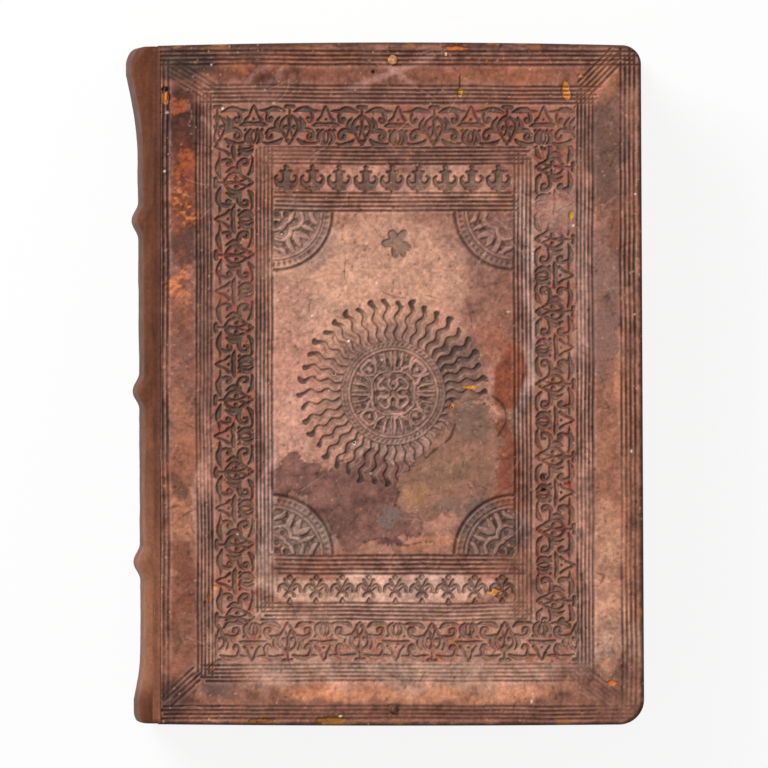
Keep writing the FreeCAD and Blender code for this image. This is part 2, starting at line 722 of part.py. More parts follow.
def spine_wire(station, reach, shrink=0.0, fall=0.0, right=None):
    """The closed section of the spine at one station along Y, offset inwards by shrink."""
    joint, mid = value("joint_x"), value("mid_z")
    bow, shoulder = value("spine_bow"), value("shoulder_round")
    right = value("spine_edge_x") if right is None else right
    centre = Vector(joint - (reach - bow - shoulder), station, value("centre_z"))
    rise = centre.z - mid
    back = Vector(joint + (rise ** 2 / bow + 2 * (centre.x - joint) - bow) / 2, station, mid)
    span = back.x - joint + reach - shoulder
    away = (centre - back) / span
    radius = shoulder - shrink
    apex = centre + Vector(0, 0, radius)
    halfway = centre + (away + Vector(0, 0, 1)).normalize() * radius
    turn = centre + away * radius
    back_point = back - Vector(span + radius, 0, 0)
    crease = Vector(right, station, apex.z - fall)

    def below(point):
        return Vector(point.x, point.y, 2 * mid - point.z)
    edges = [
        Part.makeLine(crease, apex),
        Part.Arc(apex, halfway, turn).toShape(),
        Part.Arc(turn, back_point, below(turn)).toShape(),
        Part.Arc(below(turn), below(halfway), below(apex)).toShape(),
        Part.makeLine(below(apex), below(crease)),
        Part.makeLine(below(crease), crease),
    ]
    return Part.Wire(edges)


def loft_stations(stations, **options):
    return Part.makeLoft([spine_wire(y, reach, **options) for y, reach in stations], True, True)


def panel_reach_at(station):
    """The spine stands out a little more towards the head."""
    low, high = value("tail_flare_high"), value("head_flare_low")
    share = (station - low) / (high - low)
    return value("tail_panel_reach") + share * (value("head_panel_reach") - value("tail_panel_reach"))


def cap_stations(start, start_reach, full, end_full, reach, end):
    """A cap: the spine flares out to its full reach, holds it and is rounded off at its end."""
    stations = []
    for step in range(4):
        share = step / 3
        stations.append((start + share * (full - start), start_reach + share ** 2 * (reach - start_reach)))
    for turn in (0, 45, 90):
        angle = math.radians(turn)
        across = value("cap_end_reach") + (reach - value("cap_end_reach")) * math.cos(angle)
        stations.append((end_full + (end - end_full) * math.sin(angle), across))
    return stations


def ridge_solid(middle, half, foot, crest, **options):
    """A low ridge across the spine, from the reach of its foot to the reach of its crest."""
    stations = []
    for step in range(5):
        share = step / 2 - 1
        stations.append((middle + share * half,
                         foot + (crest - foot) * math.cos(share * math.pi / 2) ** 2))
    return loft_stations(stations, **options)


def make_spine_leather(supports):
    """The leather over the back: flat panels, raised bands and a cap at each end."""
    low, high = value("tail_flare_high"), value("head_flare_low")
    fall = value("crease_fall")
    head_end = value("head_y") - value("cap_square") / 4
    tail_end = value("tail_y") + value("cap_square") / 4
    head = cap_stations(high, value("head_panel_reach"), value("head_cap_low"),
                        value("head_cap_high"), value("cap_reach"), head_end)
    tail = cap_stations(low, value("tail_panel_reach"), value("tail_cap_high"),
                        value("tail_cap_low"), value("tail_cap_reach"), tail_end)
    panels = [(low, value("tail_panel_reach")), (high, value("head_panel_reach"))]
    skin = loft_stations(panels, fall=fall)
    for stations in (head, tail):
        skin = skin.fuse(loft_stations(stations, fall=fall))
    for place in PLACES_OF_BANDS:
        middle = value("band_" + place)
        panel = panel_reach_at(middle)
        band = ridge_solid(middle, value("band_half"), panel - value("ridge_sunk"),
                           panel + value("band_rise"), fall=fall)
        skin = skin.fuse(band)
    core_ends = [(-value("book_tall"), value("core_reach")), (value("book_tall"), value("core_reach"))]
    core = loft_stations(core_ends, shrink=value("leather_thick"), right=value("board_x"))
    skin = skin.cut(core)
    for support in supports:
        skin = skin.cut(support.Shape)
    return shaped("spine_leather", skin.removeSplitter())


PLACES_OF_BANDS = ("head", "middle", "tail")
SIZE_NAMES = {alias for alias, _ in SIZES}
PLACE_NAMES = {alias for alias, _ in PLACES}

doc = FreeCAD.newDocument("old_book")
sizes = make_sheet("Sizes", SIZES)
places = make_sheet("Places", [(alias, "=" + re.sub("Places.", "", spelled(text)))
                               for alias, text in PLACES])

nodes = []
tie_stubs = [make_tie_stub(place) for place in ("head", "tail")]
for side in ("front", "back"):
    slips = [make_slip(side, place) for place in PLACES_OF_BANDS]
    ties = tie_stubs if side == "front" else []
    blank, board = make_board(side, slips + ties)
    leather = make_cover_leather(side, blank, ties, make_tooling(side))
    nodes += slips + [board, leather, make_pastedown(side)]
nodes += tie_stubs
text_block = make_text_block()
nodes.append(text_block)
nodes += make_linings() + make_endbands()
supports = [make_support(place) for place in PLACES_OF_BANDS]
nodes += supports
doc.recompute()
nodes.append(make_spine_leather(supports))
doc.recompute()

for item in doc.Objects:
    if "Invalid" in item.State or "Error" in item.State:
        raise RuntimeError("%s did not build" % item.Name)
for node in nodes:
    if node.Shape.isNull() or not node.Shape.isValid():
        raise RuntimeError("%s has no sound shape" % node.Label)
    if len(node.Shape.Solids) != 1:
        raise RuntimeError("%s has %d solids" % (node.Label, len(node.Shape.Solids)))
for node in nodes:
    node.Shape.exportStep("parts/%s.step" % node.Label)
    box = node.Shape.BoundBox
    print("%-22s x %.2f %.2f  y %.2f %.2f  z %.2f %.2f  volume %.0f" % (
        node.Label, box.XMin, box.XMax, box.YMin, box.YMax, box.ZMin, box.ZMax, node.Shape.Volume))
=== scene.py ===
import math

import bpy
import numpy as np
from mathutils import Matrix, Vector


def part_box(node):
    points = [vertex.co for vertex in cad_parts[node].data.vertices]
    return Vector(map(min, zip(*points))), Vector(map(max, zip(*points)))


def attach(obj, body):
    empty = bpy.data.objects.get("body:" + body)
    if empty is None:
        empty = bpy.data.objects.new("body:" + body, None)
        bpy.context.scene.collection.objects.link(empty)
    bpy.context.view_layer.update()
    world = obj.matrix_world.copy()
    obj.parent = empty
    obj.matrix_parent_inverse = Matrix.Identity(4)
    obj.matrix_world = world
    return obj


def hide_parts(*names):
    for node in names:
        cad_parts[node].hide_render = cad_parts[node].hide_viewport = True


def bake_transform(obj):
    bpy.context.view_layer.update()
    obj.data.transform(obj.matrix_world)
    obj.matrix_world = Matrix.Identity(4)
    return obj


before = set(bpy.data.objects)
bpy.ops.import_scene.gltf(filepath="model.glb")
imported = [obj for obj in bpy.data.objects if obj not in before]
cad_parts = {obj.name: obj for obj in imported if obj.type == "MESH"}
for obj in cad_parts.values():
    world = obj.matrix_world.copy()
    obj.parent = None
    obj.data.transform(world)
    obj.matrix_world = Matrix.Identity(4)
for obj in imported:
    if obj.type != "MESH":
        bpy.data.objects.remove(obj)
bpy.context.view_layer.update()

# An old leather-bound book lying on its back cover. The frame is in metres. The leather's relief
# and colours are worked out in millimetres from the same origin.

MM = 0.001
PHOTO_SCALE = 0.351          # millimetres of the cover in one pixel of the photograph
PHOTO_MIDDLE = (384.25, 384)
PHOTO_SIDE = 768


def box_of(node):
    """The low and the high corner of a CAD node, in millimetres."""
    return [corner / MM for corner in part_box(node)]


front_low, front_high = box_of("front_cover_leather")
back_low = box_of("back_cover_leather")[0]
spine_low, spine_high = box_of("spine_leather")

TOP = front_high.z
HIDE_X = front_low.x
FORE_X = front_high.x
JOINT_X = (front_low.x + spine_high.x) / 2
MIDDLE_Z = (back_low.z + TOP) / 2
# How far the outline leaves a straight rectangle, the round of the rim and the turn-in's reach.
FORE_SLANT = 1.2
HEAD_BOW = 1.2
TAIL_BOW = 0.5
HEAD_CORNER = 6.5
TAIL_CORNER = 8.8
RIM = 1.3
TURN_WIDE = 15.5


# Noise and blending.

def lattice(x, y, size, seed):
    """Smooth value noise between 0 and 1 whose lumps are about size millimetres."""
    table = np.random.default_rng(seed).random((256, 256))
    u, v = x / size + 500.37, y / size + 500.71
    column, row = np.floor(u).astype(int), np.floor(v).astype(int)
    u, v = u - column, v - row
    u, v = u * u * (3 - 2 * u), v * v * (3 - 2 * v)
    column, row = column % 256, row % 256
    right, above = (column + 1) % 256, (row + 1) % 256
    low = table[row, column] * (1 - u) + table[row, right] * u
    high = table[above, column] * (1 - u) + table[above, right] * u
    return low * (1 - v) + high * v


def cloudy(x, y, size, seed, octaves=4):
    """Layers of value noise, between -1 and 1."""
    total, weight, share = 0, 0, 1.0
    for octave in range(octaves):
        total = total + (lattice(x, y, size / 2 ** octave, seed + octave) * 2 - 1) * share
        weight += share
        share *= 0.55
    return total / weight * 1.5


def ramp(amount, start, end):
    """0 at start and 1 at end, with soft turns; start may be the larger one."""
    share = np.clip((amount - start) / (end - start), 0, 1)
    return share * share * (3 - 2 * share)


def bell(amount, width):
    """1 where the amount is 0, falling to almost nothing two widths away."""
    return np.exp(-(amount / width) ** 2)


def linear(red, green, blue):
    """A colour as seen on a screen, from 0 to 255, as linear light."""
    seen = np.array([red, green, blue]) / 255
    return np.where(seen <= 0.04045, seen / 12.92, ((seen + 0.055) / 1.055) ** 2.4)


def filled(shape, tone):
    """One colour, given as seen on a screen, at every point."""
    colour = np.empty(shape + (3,))
    colour[:] = linear(*tone)
    return colour


def over(colour, tone, share):
    """A tone laid over a colour; share is how much of it covers each point."""
    return colour * (1 - share) + tone * share


def from_photo(across, down):
    """A place in the photograph, in pixels, as millimetres on the cover."""
    return (across - PHOTO_MIDDLE[0]) * PHOTO_SCALE, (PHOTO_MIDDLE[1] - down) * PHOTO_SCALE


# Strokes of the tooling. A stroke is a chain of (x, y, half width) in millimetres.

def curved(points, steps=5):
    """A smooth chain through the given points."""
    chain = np.array(points, float)
    ends = np.vstack([2 * chain[0] - chain[1], chain, 2 * chain[-1] - chain[-2]])
    smooth = []
    for place in range(1, len(ends) - 2):
        before, start, end, after = ends[place - 1:place + 3]
        for step in range(steps):
            t = step / steps
            smooth.append(0.5 * (2 * start + (end - before) * t
                                 + (2 * before - 5 * start + 4 * end - after) * t * t
                                 + (3 * start - before - 3 * end + after) * t ** 3))
    smooth.append(chain[-1])
    return smooth


def stroke_distance(x, y, strokes):
    """How far each point is outside the nearest stroke; negative inside it."""
    best = np.full(x.shape, 9.0)
    for stroke in strokes:
        if len(stroke) == 1:
            across, along, half = stroke[0]
            np.minimum(best, np.hypot(x - across, y - along) - half, out=best)
            continue
        chain = curved(stroke) if len(stroke) > 2 else stroke
        for (start_x, start_y, start_half), (end_x, end_y, end_half) in zip(chain, chain[1:]):
            run_x, run_y = end_x - start_x, end_y - start_y
            share = ((x - start_x) * run_x + (y - start_y) * run_y) / (run_x ** 2 + run_y ** 2 + 1e-9)
            share = np.clip(share, 0, 1)
            apart = np.hypot(x - start_x - share * run_x, y - start_y - share * run_y)
            np.minimum(best, apart - start_half - share * (end_half - start_half), out=best)
    return best


# One repeat of the rolled border, from the middle of its leaf (x = 0) to the middle of the knot
# beside it, y outwards. The other half is its mirror image.
ROLL_REPEAT = 25.4
KNOT = ROLL_REPEAT / 2
ROLL = (
    ((0, 0.2, 0.6), (1.9, 0.25, 0.8), (3.3, 0.1, 0.75), (4.9, -0.3, 0.15)),
    ((0, 6.6, 0.34), (0.9, 4.9, 0.42), (1.5, 3.2, 0.42), (2.8, 1.6, 0.6)),
    ((0, 2.0, 0.45),),
    ((1.9, 4.9, 0.2), (4.6, 4.9, 0.65), (6.6, 5.5, 0.95), (8.8, 5.3, 0.85), (11.2, 4.5, 0.3)),
    ((5.1, 4.5, 0.6), (4.6, 2.6, 0.6), (5.1, 1.1, 0.5), (6.2, 1.0, 0.4)),
    ((6.1, 1.9, 0.95),),
    ((KNOT, 6.7, 0.75), (11.4, 6.3, 0.7)),
    ((KNOT, 5.8, 0.38), (KNOT, 0.2, 0.4), (KNOT, -1.6, 0.3)),
    ((11.9, 3.0, 0.45), (9.9, 1.1, 0.65), (9.7, -1.4, 0.65), (11.0, -3.9, 0.5), (11.8, -5.8, 0.4)),
    ((11.8, 2.9, 0.4), (12.5, 0.6, 0.4), (12.4, -1.8, 0.4), (11.6, -4.2, 0.4)),
    ((11.2, -0.9, 0.85),),
    ((9.1, 2.6, 0.35), (8.0, 0.6, 0.85), (8.3, -0.9, 0.9), (9.3, -2.3, 0.4)),
    ((9.3, -2.3, 0.5), (7.6, -1.7, 0.75), (5.8, -1.9, 0.75), (4.6, -3.2, 0.65), (4.9, -4.7, 0.6),
     (6.2, -4.6, 0.6), (6.3, -3.6, 0.6)),
    ((9.9, -5.0, 0.4), (8.2, -6.3, 0.85), (5.4, -6.8, 0.75), (3.2, -6.2, 0.3)),
    ((0, -1.9, 0.4), (0.8, -3.4, 0.42), (0.7, -5.2, 0.4), (0, -6.6, 0.4)),
    ((1.2, -2.0, 0.75), (2.3, -3.6, 0.9), (2.3, -5.3, 0.9), (1.1, -6.6, 0.5)),
    ((2.9, -1.9, 0.6),),
    ((12.1, -5.2, 0.35), (12.5, -6.9, 0.35)),
)
# Half a flower of each row: x across, y towards the head.
HEAD_FLOWER = (
    ((0, 4.4, 0.9), (0, 3.4, 0.4)),
    ((0, 2.7, 0.42), (1.7, 2.7, 0.5)),
    ((0, 2.4, 1.3), (0, 0.4, 1.2), (0, -2.4, 1.3), (0, -4.6, 0.3)),
    ((1.0, -1.4, 0.8), (2.4, -1.9, 0.95), (3.4, -1.0, 0.75), (3.75, 0.5, 0.42), (3.1, 1.2, 0.4)),
    ((1.0, -3.0, 0.7), (2.0, -3.1, 0.55)),
)
TAIL_FLOWER = (
    ((0, 4.2, 0.95),),
    ((1.2, 2.3, 0.5), (1.75, 3.3, 0.5)),
    ((1.1, 2.2, 0.4), (0.2, 0.5, 0.4)),
    ((1.0, 0.9, 0.3), (2.4, 1.7, 0.42), (3.6, 0.8, 0.52), (3.9, -0.7, 0.55)),
    ((2.4, 0.6, 0.25), (1.2, -0.5, 0.3)),
    ((0.4, 0.2, 0.28), (0.45, -1.4, 0.25)),
    ((0, -1.1, 0.3), (1.1, -1.3, 0.35), (1.6, -2.4, 0.6)),
    ((0, -3.4, 0.45), (0, -4.5, 1.0)),
)
# Ribbons and dots of half a quarter of the sun's disc: x outwards along its axis, y across it.
DISC = (
    ((7.4, 0, 0.34), (7.6, 2.6, 0.34), (6.7, 5.0, 0.4), (5.4, 6.4, 0.4)),
    ((1.6, 0.6, 0.3), (3.0, 1.7, 0.45), (4.6, 1.3, 0.4), (5.4, 2.8, 0.35), (4.4, 4.2, 0.4)),
    ((8.4, 0.5, 0.3), (11.0, 0.8, 0.5), (14.3, 0.7, 0.3)),
    ((8.7, 1.4, 0.3), (11.0, 2.8, 0.55), (13.9, 3.4, 0.3)),
    ((8.4, 3.2, 0.3), (9.6, 5.4, 0.4), (12.6, 6.9, 0.35)),
    ((6.9, 6.2, 0.3), (9.0, 6.0, 0.4), (11.4, 8.0, 0.5), (10.3, 9.9, 0.45)),
    ((8.3, 8.3, 0.8),),
)
DISC_DOTS = (
    ((2.3, 0, 0.5),),
    ((5.6, 0.3, 0.6),),
    ((2.9, 2.9, 0.55),),
    ((9.8, 1.6, 0.5), (11.6, 2.0, 0.45)),
    ((10.6, 4.8, 0.7),),
    ((6.2, 4.2, 0.45),),
    ((12.6, 5.4, 0.5),),
    ((9.4, 7.4, 0.45),),
)
# Ribbons and dots of half a corner stamp: x along its diagonal from the panel's corner, y across.
STAMP = (
    ((5.0, 4.6, 0.3), (6.3, 1.6, 0.4), (6.0, 0, 0.4)),
    ((7.2, 6.4, 0.45), (9.4, 4.9, 0.5), (9.8, 1.9, 0.5), (8.4, 0, 0.45)),
    ((9.4, 8.8, 0.5), (11.9, 7.6, 0.9), (13.4, 7.9, 0.5)),
    ((10.4, 3.4, 0.3), (12.4, 4.6, 0.8), (14.6, 5.2, 0.5)),
    ((10.6, 0, 0.5), (12.4, 1.2, 0.8), (15.2, 2.0, 0.4)),
    ((2.4, 2.0, 0.4), (3.6, 0.8, 0.5)),
)
STAMP_DOTS = (
    ((1.6, 0, 0.8),),
    ((3.7, 2.3, 0.8),),
    ((7.6, 3.4, 0.6),),
    ((10.9, 5.8, 0.5),),
    ((12.9, 6.2, 0.4),),
    ((11.8, 2.6, 0.4), (13.4, 3.2, 0.4)),
)
LONE_FLOWER = (
    ((0, 0, 2.3),),
    ((0, 3.6, 1.5), (0, 1.4, 1.6)),
    ((2.2, 1.4, 1.5), (3.6, 2.0, 1.2)),
    ((1.6, -2.0, 1.6), (2.6, -3.2, 1.1)),
    ((0, -2.0, 1.2), (0, -4.6, 0.7)),
)

# Where the tooling stands, in millimetres: fillets, the middle of the roll on each side and where
# one of its leaves stands there, the rows of flowers, the panel, the sun and the corner stamps.
PITCH = 1.45
FILLET_DEEP = 0.6
ROLL_LEFT, ROLL_RIGHT, ROLL_HEAD, ROLL_TAIL = -52.6, 60.1, 90.8, -90.5
LEAF_LEFT, LEAF_RIGHT, LEAF_HEAD, LEAF_TAIL = 32.3, -12.8, 5.1, 4.2
ROLL_HALF = 7.1
ROLL_RUBBED = (566, 212)     # a rubbed place of the roll, as a point of the photograph
ROW_LEFT, ROW_RIGHT = -38.7, 45.6
HEAD_ROW_Y, TAIL_ROW_Y = 71.8, -72.0
FLOWER_PITCH = 9.3
LAST_FLOWER = 8
HEAD_ROW_FIRST, TAIL_ROW_FIRST = -34.3, -33.1
WINDOW_HEAD, WINDOW_TAIL = 60.6, -59.9
SUN_X, SUN_Y = 3.1, -3.3
SUN_RAYS, RAY_FOOT, RAY_TIP = 42, 19.4, 33.6
STAMP_ROUND = 21.0
STAMP_LINES = ((20.7, 0.7, 0.55, 1.0), (17.4, 0.4, 0.3, 0.8), (16.1, 0.3, 0.26, 0.6))
STAMP_BANKS = ((16.8, 0.3), (19.9, 0.25))
LONE_PLACE, LONE_TURN = (398, 243), 0.5
# Bundles of fillets: the outer frame, the border, the panel, the rows and the mitres.
BUNDLES = (
    # start x, start y, end x, end y, lines, step to the next line across the run
    (-79.2, 116.6, 89.0, 116.8, 4, (0, -1.55)),
    (-78.0, -117.4, 88.0, -117.4, 4, (0, 1.42)),
    (87.7, 116.0, 88.4, -116.0, 4, (-1.58, 0)),
    (-79.0, 112.0, -78.9, -112.0, 3, (1.6, 0)),
    (-63.5, 104.6, 74.0, 104.4, 5, (0, -1.45)),
    (-63.0, -104.2, 72.4, -104.2, 5, (0, 1.42)),
    (-65.7, 101.8, -65.4, -101.5, 5, (1.25, 0)),
    (73.3, 102.0, 73.2, -103.0, 5, (-1.35, 0)),
    (-42.0, 83.0, 49.5, 83.0, 5, (0, -1.42)),
    (-43.2, -82.7, 50.0, -82.7, 5, (0, 1.42)),
    (-44.6, 82.5, -44.5, -79.0, 5, (1.35, 0)),
    (51.5, 79.5, 51.4, -82.0, 5, (-1.42, 0)),
    (-39.0, 67.0, 45.6, 67.0, 5, (0, -1.52)),
    (-38.5, -66.6, 47.5, -66.6, 5, (0, 1.58)),
    (-76.6, 108.4, -62.2, 99.6, 5, (0.85, 1.3)),
    (83.6, 113.2, 72.4, 101.6, 5, (-1.1, 1.1)),
    (69.2, -98.2, 82.6, -108.6, 5, (-0.95, -1.15)),
    (-67.2, -99.6, -76.6, -108.6, 4, (1.1, -1.1)),
)


def fillets(x, y, start_x, start_y, end_x, end_y, lines, step):
    """Distance to the middle of the nearest line of a bundle of straight lines."""
    run = np.array([end_x - start_x, end_y - start_y])
    long = np.hypot(*run)
    run /= long
    side = np.array([-run[1], run[0]])
    pitch = float(np.dot(side, step))
    shift = float(np.dot(run, step))
    along = (x - start_x) * run[0] + (y - start_y) * run[1]
    across = (x - start_x) * side[0] + (y - start_y) * side[1]
    line = np.clip(np.round(across / pitch), 0, lines - 1)
    along = along - line * shift
    ragged = cloudy(line * 7.3 + long, along * 0, 3.0, 61, 1) * 1.6
    beyond = np.maximum(np.maximum(ragged - along, along - long - ragged), 0)
    return np.hypot(across - line * pitch, beyond)


def folded(x, y, quarters):
    """Points folded into half of one of a rosette's like parts: along its axis and across it."""
    angle = np.arctan2(y, x)
    part = 2 * math.pi / quarters
    angle = np.abs((angle + part / 2) % part - part / 2)
    away = np.hypot(x, y)
    return away * np.cos(angle), away * np.sin(angle)


def at_least(layer, where, amount):
    layer[where] = np.maximum(layer[where], amount)


class Relief:
    """What the tools pressed into the cover, gathered point by point."""

    def __init__(self, x, y):
        self.x = x + cloudy(x, y, 34, 41, 3) * 0.35
        self.y = y + cloudy(x, y, 34, 47, 3) * 0.35
        self.depth = np.zeros(x.shape)
        self.floor = np.zeros(x.shape)
        # Painted shade along the walls of the tooling, and the burnt tips of the sun's rays.
        self.edge = np.zeros(x.shape)
        # Painted highlights on the raised parts beside the tooling.
        self.ridge_highlight = np.zeros(x.shape)

    def near(self, low_x, high_x, low_y, high_y):
        return (self.x > low_x) & (self.x < high_x) & (self.y > low_y) & (self.y < high_y)

    def press(self, where, distance, deep, strength=1.0, tone=1.0, rim=1.0):
        """Sinks a stroke by deep. tone is how dark its floor is and rim how dark its edge is: painted
        shade along the stroke's wall.
        """
        soft = 0.26
        inside = ramp(-distance, -soft, soft)
        at_least(self.depth, where, deep * inside * strength)
        at_least(self.floor, where, ramp(-distance, 0, soft) * strength * tone)
        at_least(self.edge, where, bell(distance, 0.28) * strength * rim)

    def ribbon(self, where, distance, deep, strength=1.0):
        """Light ribbons left standing on a pressed ground, with painted shade along their edges and a
        painted highlight on them.
        """
        inside = ramp(-distance, -0.35, 0.1)
        at_least(self.depth, where, deep * (1 - inside) * strength)
        at_least(self.floor, where, 0.34 * (1 - inside) * strength)
        at_least(self.edge, where, bell(distance - 0.35, 0.22) * 0.65 * strength)
        at_least(self.ridge_highlight, where, inside * strength)

    def line(self, where, distance, deep, half=0.38, strength=1.0):
        """A narrow pressed line, darkened in its groove as painted shade."""
        groove = bell(distance, half) * strength
        at_least(self.depth, where, groove * deep)
        at_least(self.edge, where, groove)

    def bank(self, where, distance, half=0.4, strength=1.0):
        """A painted highlight along a narrow strip beside the tooling; the surface is not raised."""
        at_least(self.ridge_highlight, where, bell(distance, half) * strength)


def press_fillets(relief, bundles):
    for bundle in bundles:
        start_x, start_y, end_x, end_y, lines, step = bundle
        reach = max(abs(step[0]), abs(step[1])) * lines + 2
        where = relief.near(min(start_x, end_x) - reach, max(start_x, end_x) + reach,
                            min(start_y, end_y) - reach, max(start_y, end_y) + reach)
        x, y = relief.x[where], relief.y[where]
        distance = fillets(x, y, *bundle)
        worn = np.clip(0.95 + 0.5 * cloudy(x, y, 18, 71, 4) - 0.35 * fading(x, y), 0.3, 1)
        relief.line(where, distance, FILLET_DEEP, 0.42, worn)
        # Painted highlight between the lines of each bundle.
        relief.bank(where, distance - PITCH / 2, 0.4, worn)


def fading(x, y):
    """How much the tooling has paled: most at the tail, some at the fore-edge."""
    tail = ramp(-y, 72, 92) * 0.85
    low = ramp(-y, -30, 60) * 0.4
    fore = ramp(x, 38, 54) * 0.4
    return np.clip(np.maximum(tail, np.maximum(low, fore)) + cloudy(x, y, 28, 81, 3) * 0.25, 0, 1)


def press_roll(relief):
    """The rolled border on its four sides. The head and tail runs go over the corners."""
    x, y = relief.x, relief.y
    between_sides = (x > ROLL_LEFT - ROLL_HALF) & (x < ROLL_RIGHT + ROLL_HALF)
    between_ends = (y < ROLL_HEAD - ROLL_HALF) & (y > ROLL_TAIL + ROLL_HALF)
    runs = (
        (between_sides & (np.abs(y - ROLL_HEAD) < ROLL_HALF), x - LEAF_HEAD, y - ROLL_HEAD),
        (between_sides & (np.abs(y - ROLL_TAIL) < ROLL_HALF), x - LEAF_TAIL, ROLL_TAIL - y),
        (between_ends & (np.abs(x - ROLL_LEFT) < ROLL_HALF), y - LEAF_LEFT, ROLL_LEFT - x),
        (between_ends & (np.abs(x - ROLL_RIGHT) < ROLL_HALF), y - LEAF_RIGHT, x - ROLL_RIGHT),
    )
    rubbed_x, rubbed_y = from_photo(*ROLL_RUBBED)
    for where, along, across in runs:
        here_x, here_y = x[where], y[where]
        folded_along = np.abs((along[where] + KNOT) % ROLL_REPEAT - KNOT)
        distance = stroke_distance(folded_along, across[where], ROLL)
        distance = distance + 0.13 + cloudy(here_x, here_y, 2.4, 31, 3) * 0.17
        worn = np.clip(1 + 0.35 * cloudy(here_x, here_y, 26, 37, 3), 0.6, 1)
        rubbed = np.hypot((here_x - rubbed_x) / 14, (here_y - rubbed_y) / 8)
        worn = worn * (1 - 0.75 * ramp(rubbed, 1.1, 0.6))
        faint = fading(here_x, here_y)
        relief.press(where, distance, 0.7, worn, 1 - 0.6 * faint, 1 - 0.35 * faint)


def press_rows(relief):
    """The two rows of flower stamps. The lower one has paler floors."""
    for strokes, row_y, first in ((HEAD_FLOWER, HEAD_ROW_Y, HEAD_ROW_FIRST),
                                  (TAIL_FLOWER, TAIL_ROW_Y, TAIL_ROW_FIRST)):
        where = relief.near(ROW_LEFT, ROW_RIGHT + 1, row_y - 5.4, row_y + 5.4)
        across = relief.x[where] - first
        flower = np.clip(np.round(across / FLOWER_PITCH), 0, LAST_FLOWER)
        across = np.abs(across - flower * FLOWER_PITCH)
        distance = stroke_distance(across, relief.y[where] - row_y, strokes)
        relief.press(where, distance + 0.1, 0.6, 1.0, 1.0 if row_y > 0 else 0.5)


def press_sun(relief):
    """A disc with a beaded rim and wavy rays with thick rounded tips."""
    where = relief.near(SUN_X - 37, SUN_X + 37, SUN_Y - 37, SUN_Y + 37)
    x, y = relief.x[where] - SUN_X, relief.y[where] - SUN_Y
    away, angle = np.hypot(x, y), np.arctan2(y, x)
    ray = np.round(angle / (2 * math.pi) * SUN_RAYS)
    reach = RAY_TIP + 0.7 * np.sin(ray * 2.3) - 0.4
    sideways = away * (angle - ray * 2 * math.pi / SUN_RAYS)
    share = np.clip((away - RAY_FOOT) / (RAY_TIP - RAY_FOOT), 0, 1.2)
    sway = (0.5 + 0.25 * share) * np.sin((away - RAY_FOOT) / 5.8 * 2 * math.pi + 0.5 * np.sin(ray))
    half = 0.92 + 0.12 * share - 0.3 * bell(share - 0.78, 0.14)
    beyond = np.maximum(away - reach + half, RAY_FOOT - away)
    sideways = sideways - sway
    distance = np.where(beyond > 0, np.hypot(sideways, beyond), np.abs(sideways)) - half
    scorched = np.exp(-((x - 19) / 9) ** 2 - ((y - 15) / 8) ** 2)
    burnt = np.clip(ramp(share, 0.68, 0.86) + 0.9 * scorched, 0, 1)
    # Painted shade: one edge of each ray is darker, the side turned from the light.
    shaded = 0.55 + 0.45 * np.sign(sideways * (x + y))
    relief.press(where, distance, 0.55, 1.0, 0.28 + 0.72 * burnt, np.clip(shaded + burnt, 0.3, 1))
    at_least(relief.edge, where, ramp(-distance, -0.1, 0.3) * burnt * 0.7)
    # Painted highlight along the sides of the rays.
    relief.bank(where, distance - 0.3, 0.3, 0.9)
    beads = 0.5 + 0.5 * np.cos(angle * 64 + away * 2.2)
    ring = bell(away - 17.3, 0.7)
    at_least(relief.depth, where, ring * (0.1 + 0.4 * beads))
    at_least(relief.floor, where, ring * (0.4 + 0.6 * beads))
    for round_size in (15.0, 16.2, 18.5):
        relief.line(where, away - round_size, 0.35, 0.28, 0.8)
    # Painted highlight on a ring between the lines.
    relief.bank(where, away - 15.6, 0.28)
    inside = where.copy()
    inside[where] = away < 14.8
    x, y = relief.x[inside] - SUN_X, relief.y[inside] - SUN_Y
    along, across = folded(x, y, 4)
    twisted = cloudy(x, y, 3.5, 91, 3) * 0.35
    relief.ribbon(inside, stroke_distance(along, across, DISC) + 0.12 + twisted, 0.5)
    relief.press(inside, stroke_distance(along, across, DISC_DOTS), 0.6)


def press_stamps(relief):
    """A quarter circle in each corner of the panel."""
    corners = ((ROW_LEFT, WINDOW_HEAD, 1, -1), (ROW_RIGHT, WINDOW_HEAD, -1, -1),
               (ROW_LEFT, WINDOW_TAIL, 1, 1), (ROW_RIGHT, WINDOW_TAIL, -1, 1))
    for corner_x, corner_y, way_x, way_y in corners:
        x = (relief.x - corner_x) * way_x
        y = (relief.y - corner_y) * way_y
        away = np.hypot(x, y)
        where = (x > 0) & (y > 0) & (away < STAMP_ROUND + 1)
        x, y, away = x[where], y[where], away[where]
        worn = np.ones(x.shape)
        if way_x < 0 and way_y < 0:
            worn = np.clip(0.35 + ramp(away, 3, 15) * 0.65, 0.3, 1)
        angle = np.arctan2(y, x)
        beads = 0.5 + 0.5 * np.cos(angle * 60)
        ring = np.exp(-((away - 18.8) / 0.8) ** 4)
        at_least(relief.depth, where, ring * (0.15 + 0.35 * beads) * worn)
        at_least(relief.floor, where, ring * beads * worn)
        for line_round, deep, half, strength in STAMP_LINES:
            relief.line(where, away - line_round, deep, half, strength * worn)
        # Painted highlights on two rings of each stamp.
        for bank_round, half in STAMP_BANKS:
            relief.bank(where, away - bank_round, half, worn)
        kept = away < 15.8
        inner = where.copy()
        inner[where] = kept
        along = (x[kept] + y[kept]) / math.sqrt(2)
        across = np.abs(x[kept] - y[kept]) / math.sqrt(2)
        strength = worn[kept]
        twisted = cloudy(x[kept], y[kept], 4, 97, 3) * 0.4
        relief.ribbon(inner, stroke_distance(along, across, STAMP) + twisted, 0.5, strength)
        relief.press(inner, stroke_distance(along, across, STAMP_DOTS), 0.6, strength)


